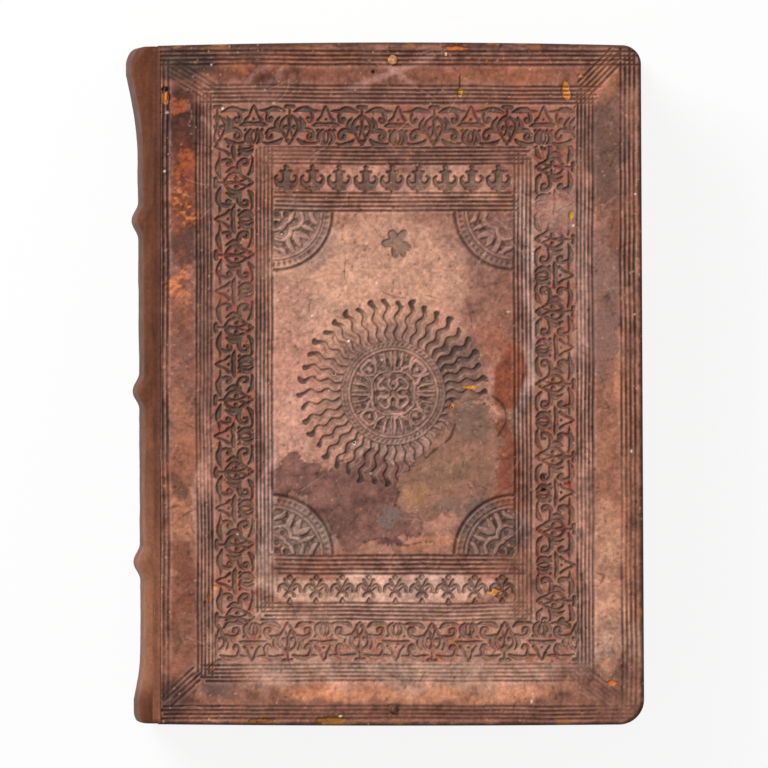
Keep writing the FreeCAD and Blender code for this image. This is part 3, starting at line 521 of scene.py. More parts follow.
def press_lone_flower(relief):
    """The single turned flower in the head half of the panel."""
    middle_x, middle_y = from_photo(*LONE_PLACE)
    where = relief.near(middle_x - 7, middle_x + 7, middle_y - 7, middle_y + 7)
    x, y = relief.x[where] - middle_x, relief.y[where] - middle_y
    turned_x = x * math.cos(LONE_TURN) + y * math.sin(LONE_TURN)
    turned_y = y * math.cos(LONE_TURN) - x * math.sin(LONE_TURN)
    distance = stroke_distance(np.abs(turned_x), turned_y, LONE_FLOWER)
    relief.press(where, distance, 0.45, 0.9)


# Colours of the front cover.
BASE = (140, 93, 76)
CHOCOLATE_TONE = (122, 83, 73)
TAN_TONE = (144, 102, 84)
# Soft patches: photo x, y, half width, half height, colour, strength, how ragged the edge is.
PATCHES = {
    "head band": (400, 68, 290, 16, (124, 76, 60), 0.9, 0.25),
    "head band warm": (505, 74, 70, 12, (150, 92, 68), 0.6, 0.5),
    "head band left": (262, 72, 60, 12, (106, 60, 45), 0.85, 0.5),
    "head right corner": (604, 78, 24, 26, (164, 104, 76), 0.8, 0.5),
    "left band dark": (183, 122, 20, 48, (72, 38, 30), 0.9, 0.5),
    "left band rust": (183, 190, 18, 62, (104, 52, 36), 0.9, 0.5),
    "left band low rust": (182, 238, 14, 30, (106, 60, 44), 0.7, 0.6),
    "left band brown": (182, 312, 18, 44, (130, 78, 60), 0.85, 0.5),
    "left band middle": (182, 378, 20, 40, (128, 82, 68), 0.85, 0.5),
    "outer fillets left": (161, 210, 8, 130, (92, 58, 52), 0.85, 0.4),
    "outer fillets left low": (161, 420, 8, 120, (104, 72, 62), 0.8, 0.4),
    "left band light": (182, 455, 20, 55, (142, 90, 70), 0.85, 0.5),
    "left band low": (184, 600, 22, 80, (124, 76, 60), 0.85, 0.5),
    "left band foot": (182, 655, 26, 24, (116, 78, 64), 0.7, 0.6),
    "right band high": (608, 150, 22, 62, (116, 83, 72), 0.9, 0.5),
    "right band": (608, 290, 22, 90, (134, 95, 84), 0.85, 0.4),
    "outer fillets right": (628, 470, 9, 200, (168, 112, 88), 0.85, 0.3),
    "right band middle": (610, 450, 18, 66, (164, 108, 84), 0.8, 0.5),
    "right band low": (606, 590, 20, 95, (188, 136, 110), 0.9, 0.45),
    "right band foot": (600, 655, 26, 24, (176, 118, 92), 0.7, 0.5),
    "tail band left": (262, 690, 62, 13, (134, 88, 70), 0.85, 0.6),
    "tail band": (430, 690, 150, 14, (188, 127, 97), 0.95, 0.4),
    "tail band glow": (330, 688, 60, 12, (196, 126, 92), 0.7, 0.5),
    "head left corner": (182, 60, 42, 17, (74, 54, 43), 0.95, 0.5),
    "head edge": (385, 47, 260, 6, (94, 60, 50), 0.75, 0.5),
    "head edge glow": (330, 49, 60, 5, (132, 82, 48), 0.5, 0.7),
    "tail left corner": (172, 700, 26, 24, (82, 54, 44), 0.85, 0.8),
    "tail left patch": (215, 678, 26, 22, (104, 76, 70), 0.8, 0.6),
    "tail edge": (400, 714, 260, 11, (118, 74, 58), 0.7, 0.4),
    "head left warm": (260, 58, 60, 9, (108, 66, 52), 0.8, 0.4),
    "fore edge": (636, 450, 8, 260, (120, 76, 58), 0.6, 0.4),
    "border left": (228, 360, 36, 300, (112, 78, 67), 0.8, 0.3),
    "border head": (400, 125, 200, 42, (126, 85, 72), 0.8, 0.3),
    "border right": (560, 380, 42, 320, (140, 99, 84), 0.75, 0.3),
    "border right worn": (562, 222, 34, 48, (164, 126, 113), 0.85, 0.7),
    "border left low": (228, 560, 36, 130, (154, 108, 90), 0.75, 0.4),
    "border right low": (560, 470, 42, 200, (162, 112, 94), 0.8, 0.4),
    "border tail": (400, 645, 250, 44, (186, 142, 122), 0.9, 0.3),
    "inner fillets right": (524, 300, 11, 130, (194, 154, 140), 0.9, 0.2),
    "inner fillets left": (265, 460, 10, 140, (186, 144, 130), 0.9, 0.2),
    "inner fillets tail": (400, 612, 140, 10, (166, 124, 108), 0.8, 0.3),
    "border fillets right": (585, 300, 10, 130, (184, 138, 122), 0.9, 0.2),
    "border fillets right low": (585, 540, 10, 120, (188, 136, 118), 0.9, 0.3),
    "border fillets left low": (204, 540, 9, 130, (172, 124, 108), 0.8, 0.3),
    "panel": (394, 380, 124, 196, (180, 129, 110), 0.95, 0.12),
    "panel head": (380, 270, 95, 60, (190, 140, 116), 0.95, 0.35),
    "panel head left": (320, 290, 60, 60, (196, 146, 122), 0.8, 0.4),
    "panel left": (292, 380, 34, 90, (184, 130, 110), 0.85, 0.35),
    "panel left glow": (290, 420, 22, 50, (200, 146, 126), 0.7, 0.5),
    "panel right": (495, 300, 36, 74, (148, 101, 86), 0.85, 0.4),
    "panel right dark": (512, 300, 14, 90, (142, 92, 76), 0.7, 0.5),
    "panel red": (509, 368, 15, 36, (130, 66, 44), 0.9, 0.5),
    "panel red low": (508, 458, 16, 46, (128, 70, 52), 0.9, 0.6),
    "panel rust": (494, 344, 22, 20, (160, 98, 74), 0.5, 0.7),
    "sun": (393, 393, 78, 78, (146, 110, 96), 0.75, 0.25),
    "sun low": (400, 452, 46, 28, (166, 128, 114), 0.8, 0.5),
    "sun right": (462, 372, 26, 34, (108, 82, 74), 0.75, 0.5),
    "disc": (393, 394, 46, 46, (148, 112, 98), 0.8, 0.15),
    "tail row": (395, 588, 126, 17, (204, 158, 140), 0.95, 0.2),
    "tail row left": (320, 588, 80, 15, (204, 158, 136), 0.7, 0.3),
    "head row": (395, 181, 122, 15, (178, 128, 110), 0.85, 0.25),
    "head row right": (450, 186, 50, 9, (196, 140, 112), 0.6, 0.5),
    "head row left": (296, 180, 26, 15, (134, 82, 66), 0.7, 0.5),
    "window tail": (440, 544, 60, 9, (180, 120, 92), 0.7, 0.6),
    "window tail right": (500, 520, 20, 20, (150, 84, 58), 0.7, 0.7),
    "left band tail": (182, 646, 24, 34, (130, 83, 66), 0.9, 0.4),
    "stamp head left": (298, 236, 36, 36, (152, 116, 102), 0.8, 0.3),
    "stamp head right": (488, 240, 36, 36, (138, 100, 88), 0.8, 0.3),
    "stamp tail left": (302, 528, 36, 36, (146, 118, 106), 0.85, 0.3),
    "stamp tail right": (490, 530, 34, 32, (120, 92, 84), 0.85, 0.3),
}
# What shows inside the place where the skin has come off.
LOSS_PATCHES = {
    "grey": (472, 420, 24, 24, (124, 95, 81), 0.9, 0.4),
    "tan": (442, 470, 26, 18, (142, 105, 83), 0.8, 0.6),
    "yellow": (412, 495, 20, 13, (168, 122, 88), 0.8, 0.6),
    "foot": (450, 506, 26, 9, (126, 98, 84), 0.8, 0.6),
}
# Stains and losses with sharp ragged edges. Blots: chains of (photo x, y, radius).
CHOCOLATE = ((280, 482, 14), (290, 468, 12), (318, 480, 16), (345, 480, 20), (372, 470, 20),
             (345, 505, 24), (372, 505, 22), (398, 500, 20), (352, 530, 18), (384, 528, 18),
             (410, 522, 17), (300, 478, 14), (402, 478, 20), (330, 503, 20), (340, 520, 16))
TAN_LOSS = ((470, 422, 24), (462, 450, 30), (438, 470, 24), (420, 490, 20), (478, 440, 22),
            (450, 490, 22), (410, 500, 14), (482, 470, 18), (500, 440, 8), (430, 512, 12))
# Smaller stains: colour, strength, the same chains.
STAINS = (
    ((124, 104, 98), 0.7, (392, 514, 8), (388, 520, 8), (384, 510, 5)),
    ((112, 90, 80), 0.7, (482, 494, 9), (474, 502, 8), (458, 512, 7), (446, 514, 6), (468, 508, 8)),
    ((112, 80, 68), 0.75, (602, 116, 9), (606, 138, 13), (612, 158, 10), (600, 176, 11),
     (614, 190, 9)),
    ((118, 66, 44), 0.6, (618, 116, 4), (620, 176, 5), (622, 226, 8), (616, 244, 7), (592, 273, 4)),
    ((136, 99, 88), 0.8, (606, 268, 11), (600, 290, 14), (604, 318, 13), (600, 346, 15),
     (596, 372, 9)),
    ((84, 58, 52), 0.75, (188, 236, 7), (194, 250, 10), (186, 260, 6), (176, 244, 5)),
    ((128, 88, 76), 0.7, (178, 338, 8), (186, 352, 9), (180, 368, 7), (186, 384, 8)),
    ((90, 58, 48), 0.7, (178, 484, 5), (180, 492, 4), (168, 478, 4)),
    ((128, 74, 54), 0.6, (180, 560, 12), (188, 572, 9), (176, 546, 8), (186, 600, 8)),
    ((78, 52, 46), 0.75, (170, 690, 10), (182, 698, 8), (172, 704, 9), (166, 676, 6)),
    ((112, 84, 78), 0.7, (210, 672, 10), (220, 684, 9), (204, 688, 8)),
    ((104, 66, 56), 0.6, (246, 552, 12), (240, 566, 9), (222, 470, 13), (232, 462, 9)),
    ((66, 50, 42), 0.7, (172, 62, 10), (190, 66, 10), (204, 60, 9), (166, 76, 7)),
)
# Where the skin of the hinge and head bands is scuffed to rusty grain: photo x, y, half width,
# half height, colour.
RUST = (
    (178, 108, 11, 9, (160, 84, 54)),
    (184, 166, 12, 20, (168, 84, 46)),
    (184, 208, 12, 22, (212, 122, 66)),
    (184, 284, 13, 24, (216, 130, 84)),
    (182, 420, 14, 40, (164, 106, 82)),
    (182, 520, 14, 26, (186, 124, 92)),
    (262, 66, 46, 9, (150, 86, 58)),
)
# Soft rubs, light or dark: half width in millimetres, colour, strength, photo points.
STREAKS = (
    (0.9, (184, 138, 128), 0.45, (350, 88), (378, 78), (400, 70), (432, 56)),
    (0.7, (184, 138, 128), 0.4, (384, 64), (398, 74), (414, 86)),
    (0.8, (150, 112, 112), 0.35, (246, 84), (256, 72), (272, 66)),
    (0.7, (150, 112, 112), 0.35, (262, 88), (276, 78), (282, 68)),
    (0.6, (206, 164, 148), 0.3, (203, 118), (214, 132), (222, 146)),
    (0.9, (176, 134, 122), 0.4, (536, 200), (560, 206), (592, 222)),
    (0.5, (60, 34, 26), 0.5, (578, 560), (584, 590), (580, 625), (586, 655)),
    (1.6, (172, 128, 114), 0.4, (590, 556), (592, 600), (588, 650)),
    (0.35, (52, 30, 24), 0.7, (492, 396), (502, 404), (506, 420), (498, 436)),
    (0.3, (52, 30, 24), 0.7, (455, 424), (450, 438), (440, 446), (426, 458)),
    (0.3, (52, 30, 24), 0.6, (364, 542), (384, 538), (402, 545), (428, 541)),
    (0.3, (52, 30, 24), 0.6, (596, 572), (603, 576), (600, 584)),
    (0.4, (206, 150, 120), 0.4, (474, 402), (490, 404), (498, 414)),
)
# Small flakes where the surface is gone: photo x, y, half width, half height, colour.
FLAKES = {
    "yellow at head right": (566, 91, 4.6, 9.0, (222, 140, 62)),
    "yellow under head edge": (460, 93, 2.4, 4.5, (186, 140, 40)),
    "crack at head": (460, 82, 0.8, 7.0, (40, 24, 16)),
    "orange at head edge": (455, 48, 12, 2.4, (206, 106, 54)),
    "pale at head edge": (446, 54, 1.6, 2.2, (232, 190, 152)),
    "yellow left": (165, 98, 4.6, 8.6, (190, 118, 64)),
    "hole left": (165, 89, 4.2, 2.6, (24, 14, 10)),
    "hole beside it": (169, 97, 1.6, 3.2, (40, 22, 16)),
    "yellow border right": (571, 215, 1.6, 4.6, (190, 150, 50)),
    "yellow head right corner": (581, 76, 2.8, 1.6, (222, 150, 60)),
    "worm head": (215, 588, 3.0, 2.6, (200, 140, 60)),
    "worm trail": (209, 596, 2.0, 6.0, (160, 100, 46)),
    "worm foot": (205, 604, 1.8, 2.6, (140, 84, 44)),
    "tail edge loss": (330, 720, 16, 3.4, (150, 96, 40)),
    "pale tail spot": (340, 716, 3.4, 2.0, (226, 202, 172)),
    "black hole one": (543, 477, 2.6, 2.2, (16, 10, 8)),
    "black hole two": (544, 489, 2.8, 2.6, (16, 10, 8)),
    "black hole head": (373, 72, 2.0, 1.6, (24, 14, 10)),
    "yellow on rays": (470, 387, 9.0, 1.8, (220, 148, 40)),
    "orange by the rays": (452, 406, 2.4, 4.0, (216, 126, 60)),
    "red diamond": (567, 484, 3.0, 2.2, (168, 60, 30)),
    "grey spot": (420, 402, 1.2, 1.2, (220, 212, 206)),
    "white by the sun": (348, 341, 2.0, 1.6, (232, 214, 204)),
    "white under the sun": (354, 443, 1.7, 1.5, (236, 222, 214)),
    "white low": (371, 473, 1.9, 1.3, (234, 220, 210)),
    "white on the ring": (334, 374, 2.2, 1.6, (226, 204, 192)),
    "yellow corner low": (212, 668, 2.6, 3.4, (206, 116, 60)),
    "tail row gold": (496, 592, 8.0, 4.0, (204, 140, 80)),
    "orange corner right": (612, 683, 5.0, 2.4, (216, 118, 58)),
    "orange at tail left": (262, 721, 12, 2.0, (140, 84, 34)),
}


def photo_distance(x, y, across, down, half_wide, half_high):
    """1 at the middle of a patch, 0 at its edge and negative outside."""
    middle_x, middle_y = from_photo(across, down)
    return 1 - np.hypot((x - middle_x) / (half_wide * PHOTO_SCALE),
                        (y - middle_y) / (half_high * PHOTO_SCALE))


def blot(x, y, spots, ragged, seed):
    """How far inside a stain made of round spots each point is, in millimetres."""
    inside = np.full(x.shape, -99.0)
    for across, down, radius in spots:
        middle_x, middle_y = from_photo(across, down)
        reach = radius * PHOTO_SCALE - np.hypot(x - middle_x, y - middle_y)
        inside = np.maximum(inside, reach)
    jagged = cloudy(x, y, 9, seed, 5) + 0.8 * np.abs(cloudy(x, y, 3.0, seed + 7, 4)) - 0.2
    return inside + jagged * ragged


def lay_patches(x, y, wander, colour, patches, seed):
    """Lays soft patches over one another; each has its own seed for its ragged edge."""
    for number, (*place, tone, strength, ragged) in enumerate(patches.values()):
        inside = photo_distance(*wander, *place)
        inside = inside + cloudy(x, y, 5 + 8 * ragged, seed + number, 5) * ragged * 0.6
        share = (ramp(inside, -0.12, 0.36) * strength)[..., None]
        colour = over(colour, linear(*tone), share)
    return colour


def add_mottle(x, y, colour):
    """Clouds and grain of the hide, calmer between the two rows of flowers."""
    mottle = cloudy(x, y, 5.0, 401, 5)[..., None]
    warm = cloudy(x, y, 17, 411, 4)[..., None]
    fine = cloudy(x, y, 1.2, 405, 2)[..., None]
    drawn = cloudy(x * 3, y * 0.5, 4, 409, 3)[..., None]
    in_window = (x > ROW_LEFT) & (x < ROW_RIGHT) & (y > WINDOW_TAIL) & (y < WINDOW_HEAD)
    rough = np.where(in_window, 0.5, 1.0)[..., None]
    return colour * (1 + 0.34 * mottle * rough + 0.26 * fine + 0.1 * drawn * rough
                     + 0.14 * warm * rough * np.array([1.0, 0.6, 0.3]))


def add_rust(x, y, wander, colour):
    grain = cloudy(x, y, 1.0, 415, 3) + 0.7 * cloudy(x, y, 6, 419, 3)
    for *place, tone in RUST:
        inside = photo_distance(*wander, *place)
        share = (ramp(inside + 0.3 * grain, -0.1, 0.5) * ramp(grain, -0.7, 0.7) * 0.85)[..., None]
        colour = over(colour, linear(*tone), share)
    return colour


def add_losses(x, y, wander, colour, relief):
    """The big dark stain and, over it, the place where the skin has come off and lies lower."""
    stain = blot(x, y, CHOCOLATE, 2.6, 421)
    dark = linear(*CHOCOLATE_TONE) * (1 + 0.55 * cloudy(x, y, 3, 431, 5)[..., None])
    colour = over(colour, dark, (ramp(stain, -0.12, 0.2) * 0.95)[..., None])
    colour = colour * (1 - 0.42 * bell(stain + 0.1, 0.35)[..., None])
    loss = blot(x, y, TAN_LOSS, 2.4, 441)
    tan = lay_patches(x, y, wander, filled(x.shape, TAN_TONE), LOSS_PATCHES, 380)
    tan = tan * (1 + 0.25 * cloudy(x, y, 3, 451, 5)[..., None])
    colour = over(colour, tan, (ramp(loss, -0.12, 0.2) * 0.95)[..., None])
    relief.wiped = ramp(loss, -0.3, 0.3)
    crust = ramp(np.maximum(loss, stain), -0.3, 1.0) * np.abs(cloudy(x, y, 2.2, 437, 4))
    relief.lost = ramp(loss, -0.3, 0.2) * 0.22 - ramp(stain, -0.3, 0.2) * 0.1 + crust * 0.16
    return colour * (1 - 0.35 * bell(loss + 0.15, 0.4)[..., None])


def add_stains(x, y, colour):
    for number, (tone, strength, *spots) in enumerate(STAINS):
        inside = blot(x, y, spots, 2.4, 461 + 10 * number)
        share = (ramp(inside, -0.3, 0.7) * strength)[..., None]
        rim = bell(inside, 0.4)[..., None]
        colour = colour * (1 - share) * (1 - 0.16 * rim) + linear(*tone) * share
    return colour


def add_streaks(x, y, colour):
    for half, tone, strength, *chain in STREAKS:
        stroke = [(*from_photo(*point), half) for point in chain]
        distance = stroke_distance(x, y, (stroke,)) + cloudy(x, y, 2, 481, 3) * 0.4
        share = (ramp(-distance, -half * 0.8, half * 0.6) * strength)[..., None]
        colour = over(colour, linear(*tone), share)
    return colour


def add_flakes(x, y, colour, relief):
    """Flakes and holes, each with a dark rim."""
    relief.hole = np.zeros(x.shape)
    for number, (*place, tone) in enumerate(FLAKES.values()):
        inside = photo_distance(x, y, *place) + cloudy(x, y, 1.6, 500 + number, 3) * 0.35
        share = ramp(inside, 0, 0.25)
        colour = colour * (1 - 0.45 * bell(inside + 0.05, 0.22)[..., None])
        colour = over(colour, linear(*tone), share[..., None])
        relief.hole = np.maximum(relief.hole, share)
    return colour


def paint_front(x, y, relief):
    """Colour of the front cover before its tooling; also sinks the losses and the holes."""
    wander = (x + cloudy(x, y, 14, 201, 3) * 3.0, y + cloudy(x, y, 14, 205, 3) * 3.0)
    colour = lay_patches(x, y, wander, filled(x.shape, BASE), PATCHES, 300)
    colour = add_mottle(x, y, colour)
    colour = add_rust(x, y, wander, colour)
    colour = add_losses(x, y, wander, colour, relief)
    colour = add_stains(x, y, colour)
    colour = add_streaks(x, y, colour)
    return add_flakes(x, y, colour, relief)


def near_roll(x, y, half):
    """Whether each point lies within half of the middle of the roll."""
    across = (x > ROLL_LEFT - half) & (x < ROLL_RIGHT + half)
    along = (y > ROLL_TAIL - half) & (y < ROLL_HEAD + half)
    sides = (np.abs(x - ROLL_LEFT) < half) | (np.abs(x - ROLL_RIGHT) < half)
    ends = (np.abs(y - ROLL_HEAD) < half) | (np.abs(y - ROLL_TAIL) < half)
    return (sides & along) | (ends & across)


def tool_colours(x, y, colour, relief):
    """Dark greasy floors with a partly painted grey sheen, painted shade along the edges and painted
    highlights on the banks where the leather was tooled.
    """
    keep = (1 - relief.wiped * 0.85) * (1 - relief.hole)
    ground = (near_roll(x, y, 7.2) * (1 - relief.floor) * keep)[..., None]
    colour = over(colour, linear(172, 120, 104), 0.4 * ground)
    red = ground * ramp(cloudy(x, y, 2.6, 621, 3), 0.1, 0.5)[..., None] * 0.5
    colour = over(colour, linear(160, 78, 62), red)
    gold = ground * ramp(cloudy(x, y, 2.2, 631, 3), 0.4, 0.7)[..., None] * 0.5
    colour = over(colour, linear(170, 112, 62), gold)
    # Painted highlight on the raised parts beside and between the tooling, lightened and tinted pink
    # in patches.
    crest_highlight = (relief.ridge_highlight * keep * (1 - relief.floor) * (1 - relief.edge))[..., None]
    highlight_share = np.clip(0.5 + 0.6 * cloudy(x, y, 2.0, 641, 3), 0, 1)[..., None]
    colour = colour * (1 + 0.15 * crest_highlight) * (1 - 0.3 * crest_highlight * highlight_share)
    colour = colour + linear(206, 160, 146) * 0.3 * crest_highlight * highlight_share
    # The floors' dark tone is the tooled leather's own; their grey tint is partly a painted sheen.
    tint = cloudy(x, y, 6, 651, 3)[..., None]
    grey = np.where(tint > 0, linear(84, 78, 68), linear(80, 62, 56))
    grey = grey * (1 + 0.35 * cloudy(x, y, 1.6, 611, 3)[..., None])
    patchy = np.clip(0.85 + 0.3 * cloudy(x, y, 12, 601, 3), 0.4, 1)
    floor = (relief.floor * keep * patchy)[..., None]
    colour = over(colour, grey, 0.8 * floor)
    # Painted shade along the walls of the tooling; on the sun's rays it also holds their burnt tips.
    edge = (relief.edge * keep)[..., None]
    return colour * (1 - 0.72 * edge) + linear(64, 36, 28) * 0.12 * edge


def window_of(x, y, radius):
    """The rows and columns of the front grid within radius of a point."""
    rows = slice(*np.searchsorted(FRONT_ROWS, (y - radius, y + radius)))
    columns = slice(*np.searchsorted(FRONT_COLUMNS, (x - radius, x + radius)))
    return rows, columns


def add_specks(x, y, colour, relief):
    """Dust, dots of light skin and small pits."""
    rng = np.random.default_rng(5)
    # Each kind: how many, colour, least and most radius, strength, depth of its pit.
    kinds = ((900, (210, 164, 140), 0.16, 0.34, 0.5, 0), (500, (196, 132, 76), 0.16, 0.42, 0.5, 0),
             (700, (48, 26, 18), 0.2, 0.5, 0.6, 0.2), (22, (236, 218, 200), 0.3, 0.45, 0.8, 0))
    for count, tone, least, most, strength, pit in kinds:
        for _ in range(count):
            spot_x = rng.uniform(HIDE_X, FORE_X)
            spot_y = rng.uniform(front_low.y, front_high.y)
            radius = rng.uniform(least, most)
            rows, columns = window_of(spot_x, spot_y, radius * 2)
            away_y = (y[rows, columns] - spot_y) * rng.uniform(0.6, 1.4)
            away = np.hypot(x[rows, columns] - spot_x, away_y)
            share = ramp(-away, -radius * 1.5, -radius * 0.4) * strength
            colour[rows, columns] *= 1 - share[..., None]
            colour[rows, columns] += linear(*tone) * share[..., None]
            relief.depth[rows, columns] += share * pit


def add_scratches(x, y, colour, relief):
    """Thin rubs and cracks, light or dark."""
    rng = np.random.default_rng(9)
    # Each kind: how many, colour, strength, least and most length.
    kinds = ((110, (206, 160, 142), 0.22, 2, 11), (110, (52, 28, 20), 0.45, 1.5, 9))
    for count, tone, strength, least, most in kinds:
        for _ in range(count):
            spot_x = rng.uniform(HIDE_X + 6, FORE_X - 4)
            spot_y = rng.uniform(front_low.y + 4, front_high.y - 4)
            heading, turn = rng.uniform(0, math.pi), rng.uniform(-0.5, 0.5)
            step = rng.uniform(least, most) / 5
            chain = []
            for number in range(6):
                half = 0.14 * math.sin(math.pi * (number + 0.5) / 6) + 0.03
                chain.append((spot_x, spot_y, half))
                spot_x += step * math.cos(heading)
                spot_y += step * math.sin(heading)
                heading += turn * rng.uniform(0, 1)
            middle_x = (chain[0][0] + chain[-1][0]) / 2
            middle_y = (chain[0][1] + chain[-1][1]) / 2
            rows, columns = window_of(middle_x, middle_y, step * 3 + 1)
            distance = stroke_distance(x[rows, columns], y[rows, columns], (chain,))
            share = ramp(-distance, -0.25, 0.05)[..., None] * strength
            colour[rows, columns] *= 1 - share
            colour[rows, columns] += linear(*tone) * share
            relief.depth[rows, columns] += share[..., 0] * 0.12


def darken_rim(x, y, colour):
    """Painted shade along the outer edges and the hinge, and gilt-brown scuffs along the head and
    tail.
    """
    depth_in = inset(x, y)
    ragged = depth_in + cloudy(x, y, 3, 661, 3) * 0.5
    # Painted shade: the colour darkens along the rounded outer edges.
    rim_shade = ramp(ragged, 1.7, 0.5)[..., None] * 0.75
    colour = over(colour, linear(52, 34, 28), rim_shade)
    # Painted shade along the hinge edge of the cover, where it would catch the light.
    hinge = (ramp(x - HIDE_X, 1.4, 0.3) * 0.55)[..., None]
    colour = over(colour, linear(84, 50, 38), hinge)
    scuff = ramp(ragged, 2.6, 1.4) * ramp(cloudy(x, y * 3, 11, 671, 4), 0.3, 0.6)
    scuff = (scuff * (np.abs(y) > 112))[..., None] * 0.7
    return over(colour, linear(150, 96, 48), scuff)


# Cover meshes. A cover's face is a grid that follows its bowed edges and round corners. Grid
# points nearer to the edge than SNAP move onto it.

SNAP = 0.18
HINGE_ROUND = 0.9


def axis_of(stops):
    """Grid lines between stops, each with the spacing up to the next one."""
    lines = []
    for (start, step), (end, _) in zip(stops, stops[1:]):
        count = max(1, round(abs(end - start) / step))
        lines += [start + (end - start) * number / count for number in range(count)]
    return np.array(lines + [stops[-1][0]])


def edge_lines(x, y):
    """How far inside the head, tail and fore-edge of a cover each point is."""
    middle = (HIDE_X + FORE_X) / 2
    half = (FORE_X - HIDE_X) / 2
    bow = 1 - ((x - middle) / half) ** 2
    head = front_high.y - HEAD_BOW * (1 - bow) - y
    tail = y - (front_low.y + TAIL_BOW * (1 - bow))
    share = (y - front_low.y) / (front_high.y - front_low.y)
    fore = FORE_X - FORE_SLANT * share - x
    return head, tail, fore


def inset(x, y):
    """How far inside the outline of a cover, with its two round corners, each point is."""
    head, tail, fore = edge_lines(x, y)
    depth = np.minimum(np.minimum(head, tail), fore)
    for edge, corner in ((head, HEAD_CORNER), (tail, TAIL_CORNER)):
        rounded = corner - np.hypot(corner - edge, corner - fore)
        depth = np.where((edge < corner) & (fore < corner), np.minimum(depth, rounded), depth)
    return depth


def inward(x, y):
    """The direction straight in from the nearest edge."""
    step = 0.01
    slope_x = (inset(x + step, y) - inset(x - step, y)) / (2 * step)
    slope_y = (inset(x, y + step) - inset(x, y - step)) / (2 * step)
    long = np.hypot(slope_x, slope_y) + 1e-9
    return slope_x / long, slope_y / long


def new_mesh(name, points, faces, material, smooth=True):
    """A mesh object from points in millimetres."""
    mesh = bpy.data.meshes.new(name)
    mesh.from_pydata(np.asarray(points) * MM, [], faces)
    mesh.polygons.foreach_set("use_smooth", [smooth] * len(mesh.polygons))
    obj = bpy.data.objects.new(name, mesh)
    mesh.materials.append(material)
    bpy.context.scene.collection.objects.link(obj)
    return obj


def add_number(obj, name, values):
    """A number on every point, for the materials to read."""
    attribute = obj.data.attributes.new(name, "FLOAT", "POINT")
    attribute.data.foreach_set("value", np.asarray(values, np.float32).ravel())


def add_colour(obj, name, values):
    """A colour on every point, for the materials to read."""
    values = np.clip(values, 0.002, 1).reshape(-1, 3)
    attribute = obj.data.attributes.new(name, "FLOAT_COLOR", "POINT")
    full = np.ones((len(values), 4), np.float32)
    full[:, :3] = values
    attribute.data.foreach_set("color", full.ravel())


def add_plain_paint(obj, tones):
    """Colours of a piece that has no tooled floors and no raw places."""
    add_colour(obj, "paint", tones)
    for name in ("floor", "raw"):
        add_number(obj, name, np.zeros(len(obj.data.vertices)))


def grid_faces(rows, columns):
    """The quads of a grid whose points are numbered row by row."""
    corner = np.arange(rows * columns).reshape(rows, columns)
    quads = np.stack([corner[:-1, :-1], corner[:-1, 1:], corner[1:, 1:], corner[1:, :-1]], -1)
    return quads.reshape(-1, 4)


def shell_faces(rows, columns):
    """Faces of a thin sheet: a grid, the same grid on its other side and the four edges."""
    quads = grid_faces(rows, columns)
    below = rows * columns
    faces = quads.tolist() + (quads[:, ::-1] + below).tolist()
    for row in range(rows - 1):
        start, after = row * columns, (row + 1) * columns
        faces.append((start, after, after + below, start + below))
        start, after = start + columns - 1, after + columns - 1
        faces.append((after, start, start + below, after + below))
    for column in range(columns - 1):
        faces.append((column + 1, column, column + below, column + 1 + below))
        last = below - columns + column
        faces.append((last, last + 1, last + 1 + below, last + below))
    return faces


def tube_faces(rings, count):
    """Faces round a row of closed rings of points."""
    faces = []
    for ring in range(rings - 1):
        for place in range(count):
            after = (place + 1) % count
            faces.append((ring * count + place, ring * count + after,
                          (ring + 1) * count + after, (ring + 1) * count + place))
    return faces


def end_faces(rings, count):
    """The two flat ends of such a row."""
    return [tuple(range(count))[::-1], tuple((rings - 1) * count + place for place in range(count))]


def slope(z, across, axis):
    """Slope of a height field along one axis of its grid, whose spacing may be uneven."""
    run = np.gradient(across, axis=axis)
    return np.gradient(z, axis=axis) / np.where(np.abs(run) < 1e-6, 1e-6, run)


def smooth_normals(x, y, z):
    """Normals of a height field over a grid."""
    normals = np.stack([-slope(z, x, 1), -slope(z, y, 0), np.ones_like(z)], -1)
    return normals / np.linalg.norm(normals, axis=-1, keepdims=True)


def quarter_round(inside, size):
    """Drop of a rounded edge of the given size, by how far inside it a point is."""
    short = np.clip(size - inside, 0, size)
    return size - np.sqrt(np.maximum(size ** 2 - short ** 2, 0))


